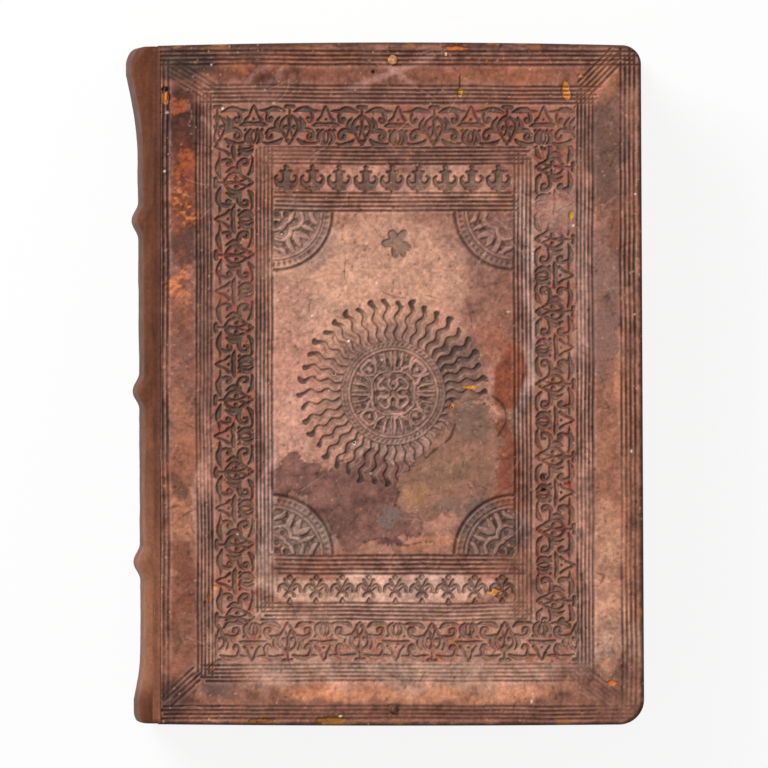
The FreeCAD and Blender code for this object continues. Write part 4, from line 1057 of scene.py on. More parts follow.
def cover_face(side, leather, columns, rows, sunk, colour, extras, splits=()):
    """Builds the face of a cover as meshes side by side and returns its points and quads.
    sunk is how deep its surface lies below the face; extras are numbers for the material."""
    body, node = side + "_cover", side + "_cover_leather"
    x, y = np.meshgrid(columns, rows)
    depth_in = inset(x, y)
    in_x, in_y = inward(x, y)
    snapped = depth_in < SNAP
    x = np.where(snapped, x - depth_in * in_x, x)
    y = np.where(snapped, y - depth_in * in_y, y)
    x = np.maximum(x, HIDE_X)
    depth_in = np.where(snapped, 0, depth_in)
    drop = np.maximum(quarter_round(depth_in, RIM), quarter_round(x - HIDE_X, HINGE_ROUND))
    down = drop + np.where(depth_in > 0, sunk, 0) * ramp(depth_in, 0, 1.2)
    z = TOP - down if side == "front" else back_low.z + down
    quads = grid_faces(*x.shape)
    inner = ~snapped.ravel()
    kept = inner[quads].any(axis=1)
    points = np.stack([x, y, z], -1).reshape(-1, 3)
    normals = smooth_normals(x, y, z)
    if side == "back":
        normals = -normals
        quads = quads[:, ::-1]
    normals = normals.reshape(-1, 3)
    quad_x = points[quads][:, :, 0].mean(axis=1)
    bounds = [-999] + list(splits) + [999]
    for number, (low, high) in enumerate(zip(bounds, bounds[1:])):
        chosen = quads[kept & (quad_x >= low) & (quad_x < high)]
        used, faces = np.unique(chosen, return_inverse=True)
        obj = new_mesh("%s_face_%d" % (side, number + 1), points[used],
                       faces.reshape(-1, 4).tolist(), leather)
        add_colour(obj, "paint", colour.reshape(-1, 3)[used])
        for name, values in extras.items():
            add_number(obj, name, values.ravel()[used])
        rim = depth_in.ravel()[used] > 0.02
        loop_normals = np.where(rim[:, None], normals[used], 0)
        obj.data.normals_split_custom_set_from_vertices(loop_normals.tolist())
        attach(obj, body)
    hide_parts(node)
    return points, quads[kept]


def edge_of(points, quads):
    """The closed outline of a set of quads, as a chain of point numbers."""
    sides = np.concatenate([quads[:, [0, 1]], quads[:, [1, 2]], quads[:, [2, 3]], quads[:, [3, 0]]])
    seen = dict.fromkeys(map(tuple, sides.tolist()))
    following = {start: end for start, end in seen if (end, start) not in seen}
    first = next(iter(following))
    chain, place = [first], following[first]
    while place != first:
        chain.append(place)
        place = following[place]
    return chain


def cover_wrap(side, leather, points, quads, colour_of):
    """The wrapped edges and the turn-ins of a cover, from the rim of its face inwards."""
    body = side + "_cover"
    chain = np.array(edge_of(points, quads))
    ring = points[chain]
    x, y = ring[:, 0], ring[:, 1]
    in_x, in_y = inward(x, y)
    at_joint = x < HIDE_X + 0.05
    face_way = -1 if side == "front" else 1
    outer = TOP if side == "front" else back_low.z
    thick = front_high.z - front_low.z
    window_x = FORE_X - FORE_SLANT - TURN_WIDE
    window_y = front_high.y - HEAD_BOW - 1 - TURN_WIDE
    # Each ring: how far inwards, how far below the face, and whether it is the turn-in's inner edge.
    profile = ((0, RIM, 0), (0, 2.2, 0), (0, 3.4, 0), (0, 4.6, 0), (0, thick - 0.9, 0),
               (0.15, thick - 0.35, 0), (0.5, thick, 0), (2.5, thick, 0), (0, thick, 1))
    rings, shades = [], []
    for shift, depth, window in profile:
        if window:
            ring_x = np.clip(x, HIDE_X + 1.7, window_x)
            ring_y = np.clip(y, -window_y, window_y)
        else:
            wavy = cloudy(x * 1.7, y * 1.7, 9, 801, 3) * 0.1 * (depth > RIM)
            ring_x = x + in_x * (shift + np.abs(wavy))
            ring_y = y + in_y * (shift + np.abs(wavy))
        ring_z = np.full(len(x), outer + face_way * depth)
        joint_z = outer + face_way * min(depth, 1.0)
        ring_z = np.where(at_joint & (window == 0), joint_z, ring_z)
        ring_x = np.where(at_joint & (window == 0), np.maximum(x, HIDE_X), ring_x)
        rings.append(np.stack([ring_x, ring_y, ring_z], -1))
        shades.append(colour_of(ring_x, ring_y))
    first = rings[0].copy()
    first[:, 2] = ring[:, 2]
    rings[0] = first
    count = len(x)
    faces = []
    for level in range(len(rings) - 1):
        for place in range(count):
            after = (place + 1) % count
            if level >= len(rings) - 3 and at_joint[place] and at_joint[after]:
                continue
            faces.append((level * count + place, (level + 1) * count + place,
                          (level + 1) * count + after, level * count + after))
    obj = new_mesh(side + "_wrap", np.concatenate(rings), faces, leather)
    add_plain_paint(obj, np.concatenate(shades))
    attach(obj, body)


# Materials.

def new_material(name):
    """A new material, its node tree and its shader."""
    material = bpy.data.materials.new(name)
    material.use_nodes = True
    tree = material.node_tree
    shader = tree.nodes["Principled BSDF"]
    return material, tree, shader


def add_node(tree, kind, **settings):
    """A new node with some of its settings."""
    node = tree.nodes.new(kind)
    for name, setting in settings.items():
        setattr(node, name, setting)
    return node


def named(tree, attribute):
    """Reads what is stored on the points under a name."""
    return add_node(tree, "ShaderNodeAttribute", attribute_name=attribute)


def noise(tree, place, scale, detail, rough, warp=0.0):
    node = add_node(tree, "ShaderNodeTexNoise")
    node.inputs["Scale"].default_value = scale
    node.inputs["Detail"].default_value = detail
    node.inputs["Roughness"].default_value = rough
    node.inputs["Distortion"].default_value = warp
    tree.links.new(place, node.inputs["Vector"])
    return node.outputs["Fac"]


def spread(tree, value, low, high, start, end):
    """Maps the range from low to high onto the range from start to end."""
    node = add_node(tree, "ShaderNodeMapRange")
    for name, number in (("From Min", low), ("From Max", high), ("To Min", start), ("To Max", end)):
        node.inputs[name].default_value = number
    tree.links.new(value, node.inputs["Value"])
    return node.outputs["Result"]


def blended(tree, kind, share, first, second):
    """Mixes two colours; share, first and second are sockets or plain values."""
    node = add_node(tree, "ShaderNodeMix", data_type="RGBA", blend_type=kind)
    for name, given in (("Factor", share), ("A", first), ("B", second)):
        socket = [s for s in node.inputs if s.name == name and s.enabled and s.type != "VECTOR"][0]
        if isinstance(given, bpy.types.NodeSocket):
            tree.links.new(given, socket)
        elif name == "Factor":
            socket.default_value = given
        else:
            socket.default_value = (*given, 1)
    return [s for s in node.outputs if s.enabled][0]


def raised(tree, height, strength, distance, below=None):
    """A bump, over another one where below is given."""
    node = add_node(tree, "ShaderNodeBump")
    node.inputs["Strength"].default_value = strength
    node.inputs["Distance"].default_value = distance
    tree.links.new(height, node.inputs["Height"])
    if below is not None:
        tree.links.new(below, node.inputs["Normal"])
    return node.outputs["Normal"]


def object_place(tree):
    """The object's own coordinates."""
    return add_node(tree, "ShaderNodeTexCoord").outputs["Object"]


def drawn_place(tree, stretch):
    """The object's own coordinates, scaled so that what follows them is drawn out."""
    node = add_node(tree, "ShaderNodeMapping")
    node.inputs["Scale"].default_value = stretch
    tree.links.new(object_place(tree), node.inputs["Vector"])
    return node.outputs["Vector"]


def net(tree, place, scale):
    """Distance to the lines of an irregular net, for pores and fine cracks."""
    node = add_node(tree, "ShaderNodeTexVoronoi", feature="DISTANCE_TO_EDGE")
    node.inputs["Scale"].default_value = scale
    tree.links.new(place, node.inputs["Vector"])
    return node.outputs["Distance"]


def weighted(tree, value, factor, plus):
    """value * factor + plus, where plus is a socket or a number."""
    node = add_node(tree, "ShaderNodeMath", operation="MULTIPLY_ADD")
    tree.links.new(value, node.inputs[0])
    node.inputs[1].default_value = factor
    if isinstance(plus, bpy.types.NodeSocket):
        tree.links.new(plus, node.inputs[2])
    else:
        node.inputs[2].default_value = plus
    return node.outputs[0]


def leather_material(name):
    """Old calf: painted colour with pores, fine cracks, greasy shine in the tooling, raw losses."""
    material, tree, shader = new_material(name)
    place = object_place(tree)
    paint = named(tree, "paint").outputs["Color"]
    floor = named(tree, "floor").outputs["Fac"]
    raw = named(tree, "raw").outputs["Fac"]
    speck = noise(tree, place, 900, 4, 0.7)
    cloud = noise(tree, place, 130, 6, 0.65, 0.4)
    pores = net(tree, place, 1300)
    cracks = net(tree, place, 330)
    toned = blended(tree, "MULTIPLY", 1.0, paint, spread(tree, speck, 0.3, 0.7, 0.8, 1.22))
    toned = blended(tree, "MULTIPLY", 1.0, toned, spread(tree, cloud, 0.25, 0.75, 0.82, 1.18))
    toned = blended(tree, "MULTIPLY", 0.5, toned, spread(tree, cracks, 0.0, 0.06, 0.72, 1.0))
    tree.links.new(toned, shader.inputs["Base Color"])
    gloss = spread(tree, cloud, 0.3, 0.7, 0.62, 0.48)
    gloss = weighted(tree, raw, 0.25, gloss)
    gloss = weighted(tree, floor, -0.12, gloss)
    tree.links.new(gloss, shader.inputs["Roughness"])
    shader.inputs["Specular IOR Level"].default_value = 0.14
    bumps = raised(tree, pores, 0.35, 0.00012)
    bumps = raised(tree, cloud, 0.5, 0.0004, bumps)
    bumps = raised(tree, speck, 0.25, 0.0002, bumps)
    tree.links.new(bumps, shader.inputs["Normal"])
    return material


def plain_material(name, colour, second, scale, rough, bump, stretch=(1, 1, 1)):
    """Two tones of one stuff, mixed by noise that may be drawn out along an axis."""
    material, tree, shader = new_material(name)
    cloud = noise(tree, drawn_place(tree, stretch), scale, 6, 0.65)
    share = spread(tree, cloud, 0.32, 0.68, 0, 1)
    toned = blended(tree, "MIX", share, linear(*colour), linear(*second))
    tree.links.new(toned, shader.inputs["Base Color"])
    shader.inputs["Roughness"].default_value = rough
    shader.inputs["Specular IOR Level"].default_value = 0.25
    tree.links.new(raised(tree, cloud, bump, 0.0003), shader.inputs["Normal"])
    return material


def leaves_material():
    """Old paper: thin lines along the edges of the leaves, dirt and spots; the top page is calmer."""
    material, tree, shader = new_material("leaf_edges")
    place = object_place(tree)
    drawn = drawn_place(tree, (0.005, 0.005, 1))
    lines = noise(tree, drawn, 5200, 3, 0.7)
    thick = noise(tree, drawn, 900, 3, 0.6)
    dirt = noise(tree, place, 28, 6, 0.65)
    spots = noise(tree, place, 160, 3, 0.5)
    toned = blended(tree, "MIX", spread(tree, lines, 0.3, 0.7, 0, 1), linear(186, 148, 110),
                    linear(238, 208, 168))
    toned = blended(tree, "MULTIPLY", 0.7, toned, spread(tree, thick, 0.3, 0.6, 0.66, 1.0))
    toned = blended(tree, "MULTIPLY", 1.0, toned, spread(tree, dirt, 0.3, 0.7, 0.86, 1.05))
    toned = blended(tree, "MIX", spread(tree, spots, 0.68, 0.8, 0, 0.4), toned, linear(146, 106, 66))
    facing = add_node(tree, "ShaderNodeSeparateXYZ")
    tree.links.new(add_node(tree, "ShaderNodeNewGeometry").outputs["Normal"], facing.inputs[0])
    page = spread(tree, facing.outputs["Z"], 0.5, 0.9, 0, 0.7)
    toned = blended(tree, "MIX", page, toned, linear(212, 184, 146))
    tree.links.new(toned, shader.inputs["Base Color"])
    shader.inputs["Roughness"].default_value = 0.85
    shader.inputs["Specular IOR Level"].default_value = 0.2
    tree.links.new(raised(tree, lines, 0.5, 0.0003), shader.inputs["Normal"])
    return material


# Build the front cover.

FRONT_COLUMNS = axis_of(((HIDE_X, 0.29), (-74.3, 0.6), (-66.5, 0.27), (-60.0, 0.33), (-45.2, 0.29),
                         (-38.8, 0.4), (45.4, 0.29), (51.9, 0.33), (67.0, 0.27), (73.7, 0.6),
                         (82.4, 0.29), (88.4, 0.3), (FORE_X + 0.3, 0.3)))
FRONT_ROWS = axis_of(((front_low.y - 0.3, 0.3), (-117.9, 0.29), (-112.4, 0.6), (-105.0, 0.29),
                      (-97.9, 0.33), (-83.2, 0.29), (-76.8, 0.33), (-67.0, 0.29), (-60.0, 0.4),
                      (60.6, 0.29), (67.4, 0.33), (76.8, 0.29), (83.4, 0.33), (98.0, 0.29),
                      (105.0, 0.6), (111.6, 0.29), (117.1, 0.3), (front_high.y + 0.3, 0.3)))
FRONT_SPLITS = (-38.0, 3.0, 44.6)
HUMP_X, HUMP_Y = 2.7, -107.4   # a low lump under the skin of the tail band


def front_depth(x, y, relief):
    """The tooling, the losses and the slight waves of the skin, as depth below the face."""
    depth = relief.depth * (1 - relief.wiped * 0.7) + relief.lost + relief.hole * 0.45
    depth = depth + (cloudy(x, y, 30, 701, 3) + 0.5) * 0.14 + 0.08
    depth = depth + cloudy(x, y, 2.6, 711, 3) * 0.06 + cloudy(x, y, 1.0, 715, 2) * 0.025
    hump = np.exp(-(((x - HUMP_X) / 4.4) ** 2 + ((y - HUMP_Y) / 6.2) ** 2) * 1.4)
    return np.maximum(depth - hump * 0.25, 0)


def front_wrap_colour(x, y):
    tone = linear(104, 66, 52) * (1 + 0.3 * cloudy(x, y, 12, 811, 4)[..., None])
    light = np.clip(cloudy(x + 40, y, 8, 821, 4), 0, 1)[..., None]
    return tone + light * linear(170, 110, 76) * 0.4


def back_wrap_colour(x, y):
    return linear(104, 66, 50) * (1 + 0.3 * cloudy(x, y, 12, 851, 4)[..., None])


def build_front(leather):
    """The front cover: its worn colours, then all its tooling pressed in and toned."""
    x, y = np.meshgrid(FRONT_COLUMNS, FRONT_ROWS)
    relief = Relief(x, y)
    colour = paint_front(x, y, relief)
    press_roll(relief)
    press_rows(relief)
    press_stamps(relief)
    press_sun(relief)
    press_lone_flower(relief)
    press_fillets(relief, BUNDLES)
    colour = tool_colours(x, y, colour, relief)
    colour = darken_rim(x, y, colour)
    add_specks(x, y, colour, relief)
    add_scratches(x, y, colour, relief)
    extras = {"floor": relief.floor, "raw": np.maximum(relief.hole, relief.wiped * 0.6)}
    points, quads = cover_face("front", leather, FRONT_COLUMNS, FRONT_ROWS,
                               front_depth(x, y, relief), colour, extras, FRONT_SPLITS)
    cover_wrap("front", leather, points, quads, front_wrap_colour)


def build_back(leather):
    """The back cover: an outer frame of lines, a single line further in and plain worn skin."""
    columns = axis_of(((HIDE_X, 0.5), (-74.3, 1.5), (-66.5, 0.5), (-64.0, 1.5), (72.0, 0.5),
                       (74.2, 1.5), (82.4, 0.5), (FORE_X + 0.3, 0.5)))
    rows = axis_of(((front_low.y - 0.3, 0.5), (-112.4, 1.5), (-105.6, 0.5), (-103.0, 1.5),
                    (103.0, 0.5), (105.6, 1.5), (111.6, 0.5), (front_high.y + 0.3, 0.5)))
    x, y = np.meshgrid(columns, rows)
    relief = Relief(x, y)
    press_fillets(relief, BUNDLES[:4])
    single = tuple(bundle[:4] + (1, bundle[5]) for bundle in BUNDLES[4:8])
    press_fillets(relief, single)
    colour = filled(x.shape, (132, 84, 64)) * (1 + 0.2 * cloudy(x, y, 24, 831, 5)[..., None])
    rubbed = ramp(cloudy(x, y, 40, 841, 4), 0.2, 0.8)[..., None] * 0.5
    colour = over(colour, linear(172, 118, 88), rubbed)
    # Painted shade in the grooves of the lines.
    colour = colour * (1 - 0.5 * relief.edge[..., None])
    extras = {"floor": relief.edge * 0.5, "raw": np.zeros(x.shape)}
    points, quads = cover_face("back", leather, columns, rows, relief.depth, colour, extras)
    cover_wrap("back", leather, points, quads, back_wrap_colour)


# The spine. Its section at each station is a flat top, a round shoulder and a bowed back. Its
# reach past the joint line changes slowly between the two flares and more in them.

PANEL_TAIL_REACH, PANEL_HEAD_REACH = 6.4, 7.4
TAIL_REACH, HEAD_REACH = 8.8, 11.6
TAIL_FLARE, HEAD_FLARE = -93, 78
TAIL_FLARE_LONG, HEAD_FLARE_LONG = 18, 31
TAIL_ROUND, HEAD_ROUND, END_REACH = -115, 112.3, 6.9
SPINE_COUNT = 48
SPINE_THICK, CREASE_THICK = 1.0, 0.95
SKIN_DROP = 0.35
CREASE_FALL = 0.45
SHOULDER = 3.5
SPINE_BOW = 2.2
BANDS = (57.6, -2.5, -62.8)
BAND_HALF = 6.5
BAND_RISE = 2.3


def spine_reach(y):
    """How far the spine stands out past the joint line at each station."""
    rise = PANEL_HEAD_REACH - PANEL_TAIL_REACH
    panel = PANEL_TAIL_REACH + (y - TAIL_FLARE) / (HEAD_FLARE - TAIL_FLARE) * rise
    panel = np.clip(panel, PANEL_TAIL_REACH, PANEL_HEAD_REACH)
    head_share = np.clip((y - HEAD_FLARE) / HEAD_FLARE_LONG, 0, 1)
    head = PANEL_HEAD_REACH + (HEAD_REACH - PANEL_HEAD_REACH) * head_share ** 2
    tail_share = np.clip((TAIL_FLARE - y) / TAIL_FLARE_LONG, 0, 1)
    tail = PANEL_TAIL_REACH + (TAIL_REACH - PANEL_TAIL_REACH) * tail_share ** 2
    reach = np.where(y > HEAD_FLARE, head, np.where(y < TAIL_FLARE, tail, panel))
    for middle in BANDS:
        share = np.clip(np.abs(y - middle) / BAND_HALF, 0, 1)
        reach = reach + BAND_RISE * np.cos(share * math.pi / 2) ** 2
    head_end = np.clip((y - HEAD_ROUND) / (spine_high.y - HEAD_ROUND), 0, 1)
    tail_end = np.clip((TAIL_ROUND - y) / (TAIL_ROUND - spine_low.y), 0, 1)
    end = np.maximum(head_end, tail_end)
    return END_REACH + (reach - END_REACH) * np.sqrt(np.maximum(1 - end ** 2, 0))


def spine_section(y, reach, count):
    """Points from the top crease round the back to the bottom crease."""
    rise = TOP - SKIN_DROP - SHOULDER - MIDDLE_Z
    centre_x = JOINT_X - (reach - SPINE_BOW - SHOULDER)
    back_x = JOINT_X + (rise ** 2 / SPINE_BOW + 2 * (centre_x - JOINT_X) - SPINE_BOW) / 2
    span = back_x - JOINT_X + reach - SHOULDER
    lean = math.atan2(rise, back_x - centre_x)
    points = []
    flat = max(3, count // 5)
    for step in range(flat):
        share = step / flat
        fall = CREASE_FALL * (1 - share) ** 2
        points.append((JOINT_X - 0.2 + (centre_x - JOINT_X + 0.2) * share, y,
                       MIDDLE_Z + rise + SHOULDER - fall))
    for step in range(count // 4):
        turn = math.pi / 2 + (math.pi / 2 - lean) * step / (count // 4)
        points.append((centre_x + SHOULDER * math.cos(turn), y,
                       MIDDLE_Z + rise + SHOULDER * math.sin(turn)))
    half = count // 3
    for step in range(half + 1):
        turn = math.pi - lean + lean * step / half
        points.append((back_x + (span + SHOULDER) * math.cos(turn), y,
                       MIDDLE_Z + (span + SHOULDER) * math.sin(turn)))
    mirrored = [(px, py, 2 * MIDDLE_Z - pz) for px, py, pz in points[:-1]]
    return points + mirrored[::-1]


def spine_tones(round_way, y):
    """Colours of the spine, by the way round it from the front crease and the height along it, with
    painted shade on its turned side, in the crease and at the feet of the bands.
    """
    streak = cloudy(round_way * 3.2, y * 0.35, 6, 911, 5)
    tone = filled(y.shape, (94, 52, 33))
    tone = tone * (1 + 0.3 * streak[..., None] + 0.2 * cloudy(round_way, y, 15, 921, 5)[..., None])
    warm = ramp(cloudy(round_way * 1.6, y * 0.5, 12, 931, 4), 0.1, 0.8)[..., None] * 0.5
    tone = over(tone, linear(126, 74, 48), warm)
    low_light = (ramp(-y, -10, 85) * ramp(-y, 113, 103) * 0.8)[..., None]
    tone = over(tone, linear(146, 94, 70), low_light)
    # Painted shade: darker where the spine turns away from the top.
    turned = ramp(round_way, 9, 13)[..., None]
    tone = tone * (1 - turned * np.array([0.16, 0.26, 0.4]))
    # Painted shade in the crease at the front joint.
    tone = tone * (1 - 0.45 * np.exp(-round_way / 0.55)[..., None])
    for middle in BANDS:
        worn = (bell(y - middle, 3.0) * ramp(round_way, 3, 9))[..., None] * 0.25
        tone = over(tone, linear(132, 86, 64), worn)
        # Painted shade at the foot of each band.
        foot = bell(np.abs(y - middle) - BAND_HALF, 1.2) * ramp(round_way, 3, 8)
        tone = tone * (1 - 0.3 * foot[..., None])
    return tone


def build_spine(leather):
    """The leather over the back of the book, with its raised bands and caps."""
    stations = axis_of(((spine_low.y, 0.35), (-111, 0.8), (-70, 0.45), (-55, 1.0), (-10, 0.45),
                        (5, 1.0), (50, 0.45), (65, 1.0), (78, 0.6), (108, 0.35),
                        (spine_high.y, 0.3)))
    outer = np.array([spine_section(y, float(spine_reach(np.array(y))), SPINE_COUNT)
                      for y in stations])
    y = outer[:, :, 1]
    across = np.diff(outer[:, :, 0], axis=1, prepend=outer[:, :1, 0])
    up = np.diff(outer[:, :, 2], axis=1, prepend=outer[:, :1, 2])
    round_way = np.cumsum(np.hypot(across, up), axis=1)
    away = outer - np.array([JOINT_X + 20, 0, MIDDLE_Z])
    away[:, :, 1] = 0
    away /= np.linalg.norm(away, axis=2, keepdims=True)
    lump = cloudy(round_way, y, 9, 901, 4) * 0.16 + cloudy(round_way, y, 2.2, 905, 3) * 0.05
    skin = outer + away * (lump * ramp(round_way, 0, 4))[..., None]
    skin[:, :, 0] = np.maximum(skin[:, :, 0], spine_low.x + 0.02)
    skin[:, :, 2] = np.clip(skin[:, :, 2], 0.3, TOP - 0.3)
    inner = outer - away * SPINE_THICK
    inner[:, 0] = outer[:, 0] - np.array([0, 0, CREASE_THICK])
    inner[:, -1] = outer[:, -1] + np.array([0, 0, CREASE_THICK])
    points = np.concatenate([skin.reshape(-1, 3), inner.reshape(-1, 3)])
    faces = [face[::-1] for face in shell_faces(*y.shape)]
    obj = new_mesh("spine", points, faces, leather)
    tone = spine_tones(round_way, y).reshape(-1, 3)
    add_plain_paint(obj, np.concatenate([tone, tone * 0.8]))
    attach(obj, "text_block")
    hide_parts("spine_leather")


def build_joint(side, leather):
    """The leather in the joint: a narrow strip along the crease."""
    way = 1 if side == "front" else -1
    face = TOP if side == "front" else back_low.z
    stations = np.linspace(spine_low.y + 0.3, spine_high.y - 0.3, 160)
    across = ((JOINT_X - 1.6, 0.42), (JOINT_X - 1.2, 0.34), (JOINT_X - 0.5, 0.38), (JOINT_X, 0.44),
              (JOINT_X + 0.4, 0.4), (JOINT_X + 0.8, 0.22), (JOINT_X + 1.3, 0.1))
    thick = 0.3
    top = [[(x, y, face - way * down) for x, down in across] for y in stations]
    bottom = [[(x, y, face - way * (down + thick)) for x, down in across] for y in stations]
    points = np.array(top + bottom).reshape(-1, 3)
    faces = shell_faces(len(stations), len(across))
    if side == "back":
        faces = [face_points[::-1] for face_points in faces]
    obj = new_mesh(side + "_joint_leather", points, faces, leather)
    low_light = (ramp(-points[:, 1], -10, 85) * 0.75)[:, None]
    tone = over(linear(88, 50, 36), linear(136, 86, 64), low_light)
    tone = tone * (1 + 0.3 * cloudy(points[:, 0] * 2, points[:, 1], 8, 941, 4)[:, None])
    add_plain_paint(obj, tone)
    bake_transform(obj)


# The leaves: a stack of thin levels whose edges differ a little.

LEVELS = 150
HOLLOW = 1.4                 # how far the fore-edge is hollow in its middle
LEAF_CORNER = 0.5
FORE_POINTS, END_POINTS, BACK_POINTS = 60, 44, 8


def build_leaves(paper):
    """All the leaves as one stack; each level stands back by its own small amount."""
    low, high = box_of("text_block")
    shoulder_x, turn_x = JOINT_X + 0.6, JOINT_X - 3.6
    rings = []
    rng = np.random.default_rng(11)
    section = rng.normal(0, 0.14, LEVELS // 6 + 2)
    for level in range(LEVELS):
        z = low.z + (high.z - low.z) * level / (LEVELS - 1)
        middle = (z - MIDDLE_Z) / ((high.z - low.z) / 2)
        shy = abs(section[level // 6] + rng.normal(0, 0.05))
        front_x = high.x - HOLLOW * (1 - middle ** 2) - shy
        back_x = shoulder_x - (1 - min(1, abs(middle) ** 2)) * (shoulder_x - turn_x)
        half = high.y - shy * 0.8
        end_x = front_x - LEAF_CORNER
        ring = []
        for number in range(FORE_POINTS):
            y = -half + LEAF_CORNER + (2 * half - 2 * LEAF_CORNER) * number / (FORE_POINTS - 1)
            ring.append((front_x - 0.12 * math.sin(number * 0.7 + level * 0.05), y, z))
        for number in range(END_POINTS):
            ring.append((end_x + (back_x - end_x) * number / (END_POINTS - 1), half, z))
        for number in range(BACK_POINTS):
            ring.append((back_x, half - 2 * half * (number + 0.5) / BACK_POINTS, z))
        for number in range(END_POINTS):
            ring.append((back_x + (end_x - back_x) * number / (END_POINTS - 1), -half, z))
        rings.append(ring)
    points = np.array(rings)
    count = points.shape[1]
    faces = tube_faces(LEVELS, count) + end_faces(LEVELS, count)
    obj = new_mesh("leaves", points.reshape(-1, 3), faces, paper, smooth=False)
    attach(obj, "text_block")
    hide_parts("text_block")


def build_endband(node, thread):
    """A worked band: a round core with slanting turns of thread, every third one blue, with painted
    shade between the turns.
    """
    low, high = box_of(node)
    middle_y = (low.y + high.y) / 2
    out_x = low.x + 1.5
    windings, bow, steps, sides = 46, 1.1, 220, 14
    points, tones = [], []
    for step in range(steps + 1):
        share = step / steps
        z = low.z + (high.z - low.z) * share
        bend = (1 - (2 * share - 1) ** 2) * bow
        for turn in range(sides):
            angle = 2 * math.pi * turn / sides
            swell = math.cos(share * windings * math.pi + angle)
            radius = 1.22 + 0.12 * swell
            points.append((out_x + bow - bend + radius * math.cos(angle),
                           middle_y + radius * math.sin(angle), z))
            blue = int((share * windings + angle / math.pi) / 2) % 3 == 0
            tone = linear(96, 110, 128) if blue else linear(206, 188, 150)
            # Painted shade between the turns of thread, where the band is thinner.
            tones.append(tone * (0.75 + 0.25 * swell))
    faces = tube_faces(steps + 1, sides) + end_faces(steps + 1, sides)
    obj = new_mesh(node + "_worked", points, faces, thread)
    add_plain_paint(obj, np.array(tones))
    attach(obj, "text_block")
    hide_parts(node)


def build_stub(node, side_tone, top_tone, thong):
    """A worn lump of thong: low rings with lumpy sides."""
    low, high = box_of(node)
    middle_x, middle_y = (low.x + high.x) / 2, (low.y + high.y) / 2
    wide = (high.x - low.x) / 2
    rise = high.z - TOP
    # Each ring: its share of the full width and its height over the cover's face.
    rings = ((0.62, -6.2), (0.62, -0.8), (0.7, -0.1), (0.98, 0.05 * rise), (0.94, 0.55 * rise),
             (0.7, 0.88 * rise), (0.35, 0.98 * rise))
    sides = 22
    points, shades = [], []
    for number, (share, up) in enumerate(rings):
        for turn in range(sides):
            angle = 2 * math.pi * turn / sides
            lump = 1 - 0.07 * abs(math.sin(angle * 2 + number)) - 0.04 * math.cos(angle * 5)
            points.append((middle_x + wide * share * lump * math.cos(angle),
                           middle_y + wide * share * lump * math.sin(angle), TOP + up))
            shades.append(linear(*side_tone) * (0.8 + 0.2 * math.sin(angle * 3 + number)))
    points.append((middle_x, middle_y, high.z))
    shades.append(linear(*top_tone))
    faces = tube_faces(len(rings), sides)
    last = (len(rings) - 1) * sides
    for turn in range(sides):
        faces.append((last + turn, last + (turn + 1) % sides, len(points) - 1))
    faces.append(tuple(range(sides))[::-1])
    obj = new_mesh(node + "_worn", points, faces, thong)
    add_plain_paint(obj, np.array(shades))
    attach(obj, "front_cover")
    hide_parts(node)


def dress_hidden_nodes():
    """Materials for the CAD nodes that stay: boards, cords, linings and pasted leaves."""
    wood = plain_material("board_wood", (118, 82, 50), (84, 54, 32), 40, 0.7, 0.5, (1, 0.08, 1))
    cord = plain_material("hemp_cord", (164, 140, 100), (120, 96, 62), 900, 0.85, 0.6)
    lining = plain_material("glued_lining", (182, 158, 118), (140, 112, 74), 160, 0.8, 0.3)
    pasted = plain_material("pasted_paper", (216, 198, 164), (192, 166, 128), 34, 0.8, 0.35)
    for node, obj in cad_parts.items():
        chosen = None
        if node.endswith("_board"):
            chosen = wood
        elif "slip" in node or "support" in node:
            chosen = cord
        elif "lining" in node:
            chosen = lining
        elif "pastedown" in node:
            chosen = pasted
        if chosen:
            obj.data.materials.clear()
            obj.data.materials.append(chosen)


# Floor, light and camera.

FLOOR_SIZE, FLOOR_DROP, FLOOR_GLOW = 6, 0.0009, 0.88
SKY_LIGHT, SKY_SEEN = 0.45, 0.48
LAMP_SIZE, LAMP_POWER, LAMP_PLACE = 0.7, 21, (-0.75, 0.75, 0.95)
LENS, FILM = 500, 36


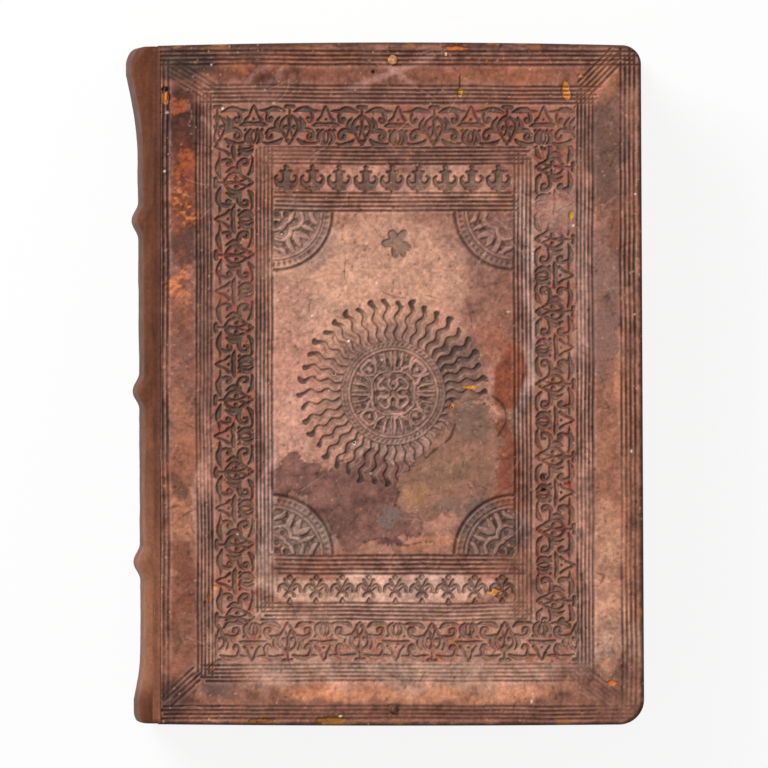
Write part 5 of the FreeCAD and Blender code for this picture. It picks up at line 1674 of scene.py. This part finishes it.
def build_stage():
    """A pale floor just below the book that the camera sees nearly white."""
    bpy.ops.mesh.primitive_plane_add(size=FLOOR_SIZE, location=(0, 0, -FLOOR_DROP))
    floor = bpy.context.object
    floor.name = "floor"
    material, tree, shader = new_material("pale_floor")
    shader.inputs["Base Color"].default_value = (0.82, 0.82, 0.82, 1)
    shader.inputs["Roughness"].default_value = 0.9
    shader.inputs["Specular IOR Level"].default_value = 0.0
    glow = add_node(tree, "ShaderNodeEmission")
    glow.inputs["Color"].default_value = (1, 1, 1, 1)
    rays = add_node(tree, "ShaderNodeLightPath")
    share = add_node(tree, "ShaderNodeMath", operation="MULTIPLY")
    tree.links.new(rays.outputs["Is Camera Ray"], share.inputs[0])
    share.inputs[1].default_value = FLOOR_GLOW
    mix = add_node(tree, "ShaderNodeMixShader")
    tree.links.new(share.outputs[0], mix.inputs[0])
    tree.links.new(shader.outputs[0], mix.inputs[1])
    tree.links.new(glow.outputs[0], mix.inputs[2])
    tree.links.new(mix.outputs[0], tree.nodes["Material Output"].inputs["Surface"])
    floor.data.materials.append(material)


def build_light():
    """Even light from all round, seen brighter than it shines, and a soft window at the upper left."""
    world = bpy.data.worlds.new("studio")
    world.use_nodes = True
    sky = world.node_tree.nodes["Background"]
    sky.inputs["Color"].default_value = (1, 1, 1, 1)
    rays = add_node(world.node_tree, "ShaderNodeLightPath")
    strength = weighted(world.node_tree, rays.outputs["Is Camera Ray"], SKY_SEEN, SKY_LIGHT)
    world.node_tree.links.new(strength, sky.inputs["Strength"])
    bpy.context.scene.world = world
    lamp = bpy.data.lights.new("window", "AREA")
    lamp.shape = "SQUARE"
    lamp.size = LAMP_SIZE
    lamp.energy = LAMP_POWER
    window = bpy.data.objects.new("window", lamp)
    window.location = LAMP_PLACE
    window.rotation_euler = Vector((0.75, -0.75, -0.9)).to_track_quat("-Z", "Y").to_euler()
    bpy.context.scene.collection.objects.link(window)


def build_camera():
    """Straight above the cover, with a long lens, so that a pixel is as wide as in the photograph."""
    view = PHOTO_SIDE * PHOTO_SCALE * MM
    data = bpy.data.cameras.new("camera")
    data.lens, data.sensor_width = LENS, FILM
    data.clip_start = 0.01
    camera = bpy.data.objects.new("camera", data)
    shift_x, shift_y = from_photo(PHOTO_SIDE / 2, PHOTO_SIDE / 2)
    camera.location = (shift_x * MM, shift_y * MM, TOP * MM + view * LENS / FILM)
    bpy.context.scene.collection.objects.link(camera)
    bpy.context.scene.camera = camera


leather = leather_material("tooled_calf")
spine_calf = leather_material("spine_calf")
build_front(leather)
build_back(leather)
build_spine(spine_calf)
for side in ("front", "back"):
    build_joint(side, leather)
build_leaves(leaves_material())
thread = leather_material("worked_thread")
for node in ("head_endband", "tail_endband"):
    build_endband(node, thread)
thong = leather_material("dry_thong")
build_stub("tie_stub_head", (196, 142, 100), (214, 164, 118), thong)
build_stub("tie_stub_tail", (112, 74, 56), (150, 108, 84), thong)
dress_hidden_nodes()
build_stage()
build_light()
build_camera()

scene = bpy.context.scene
scene.view_settings.view_transform = "Standard"
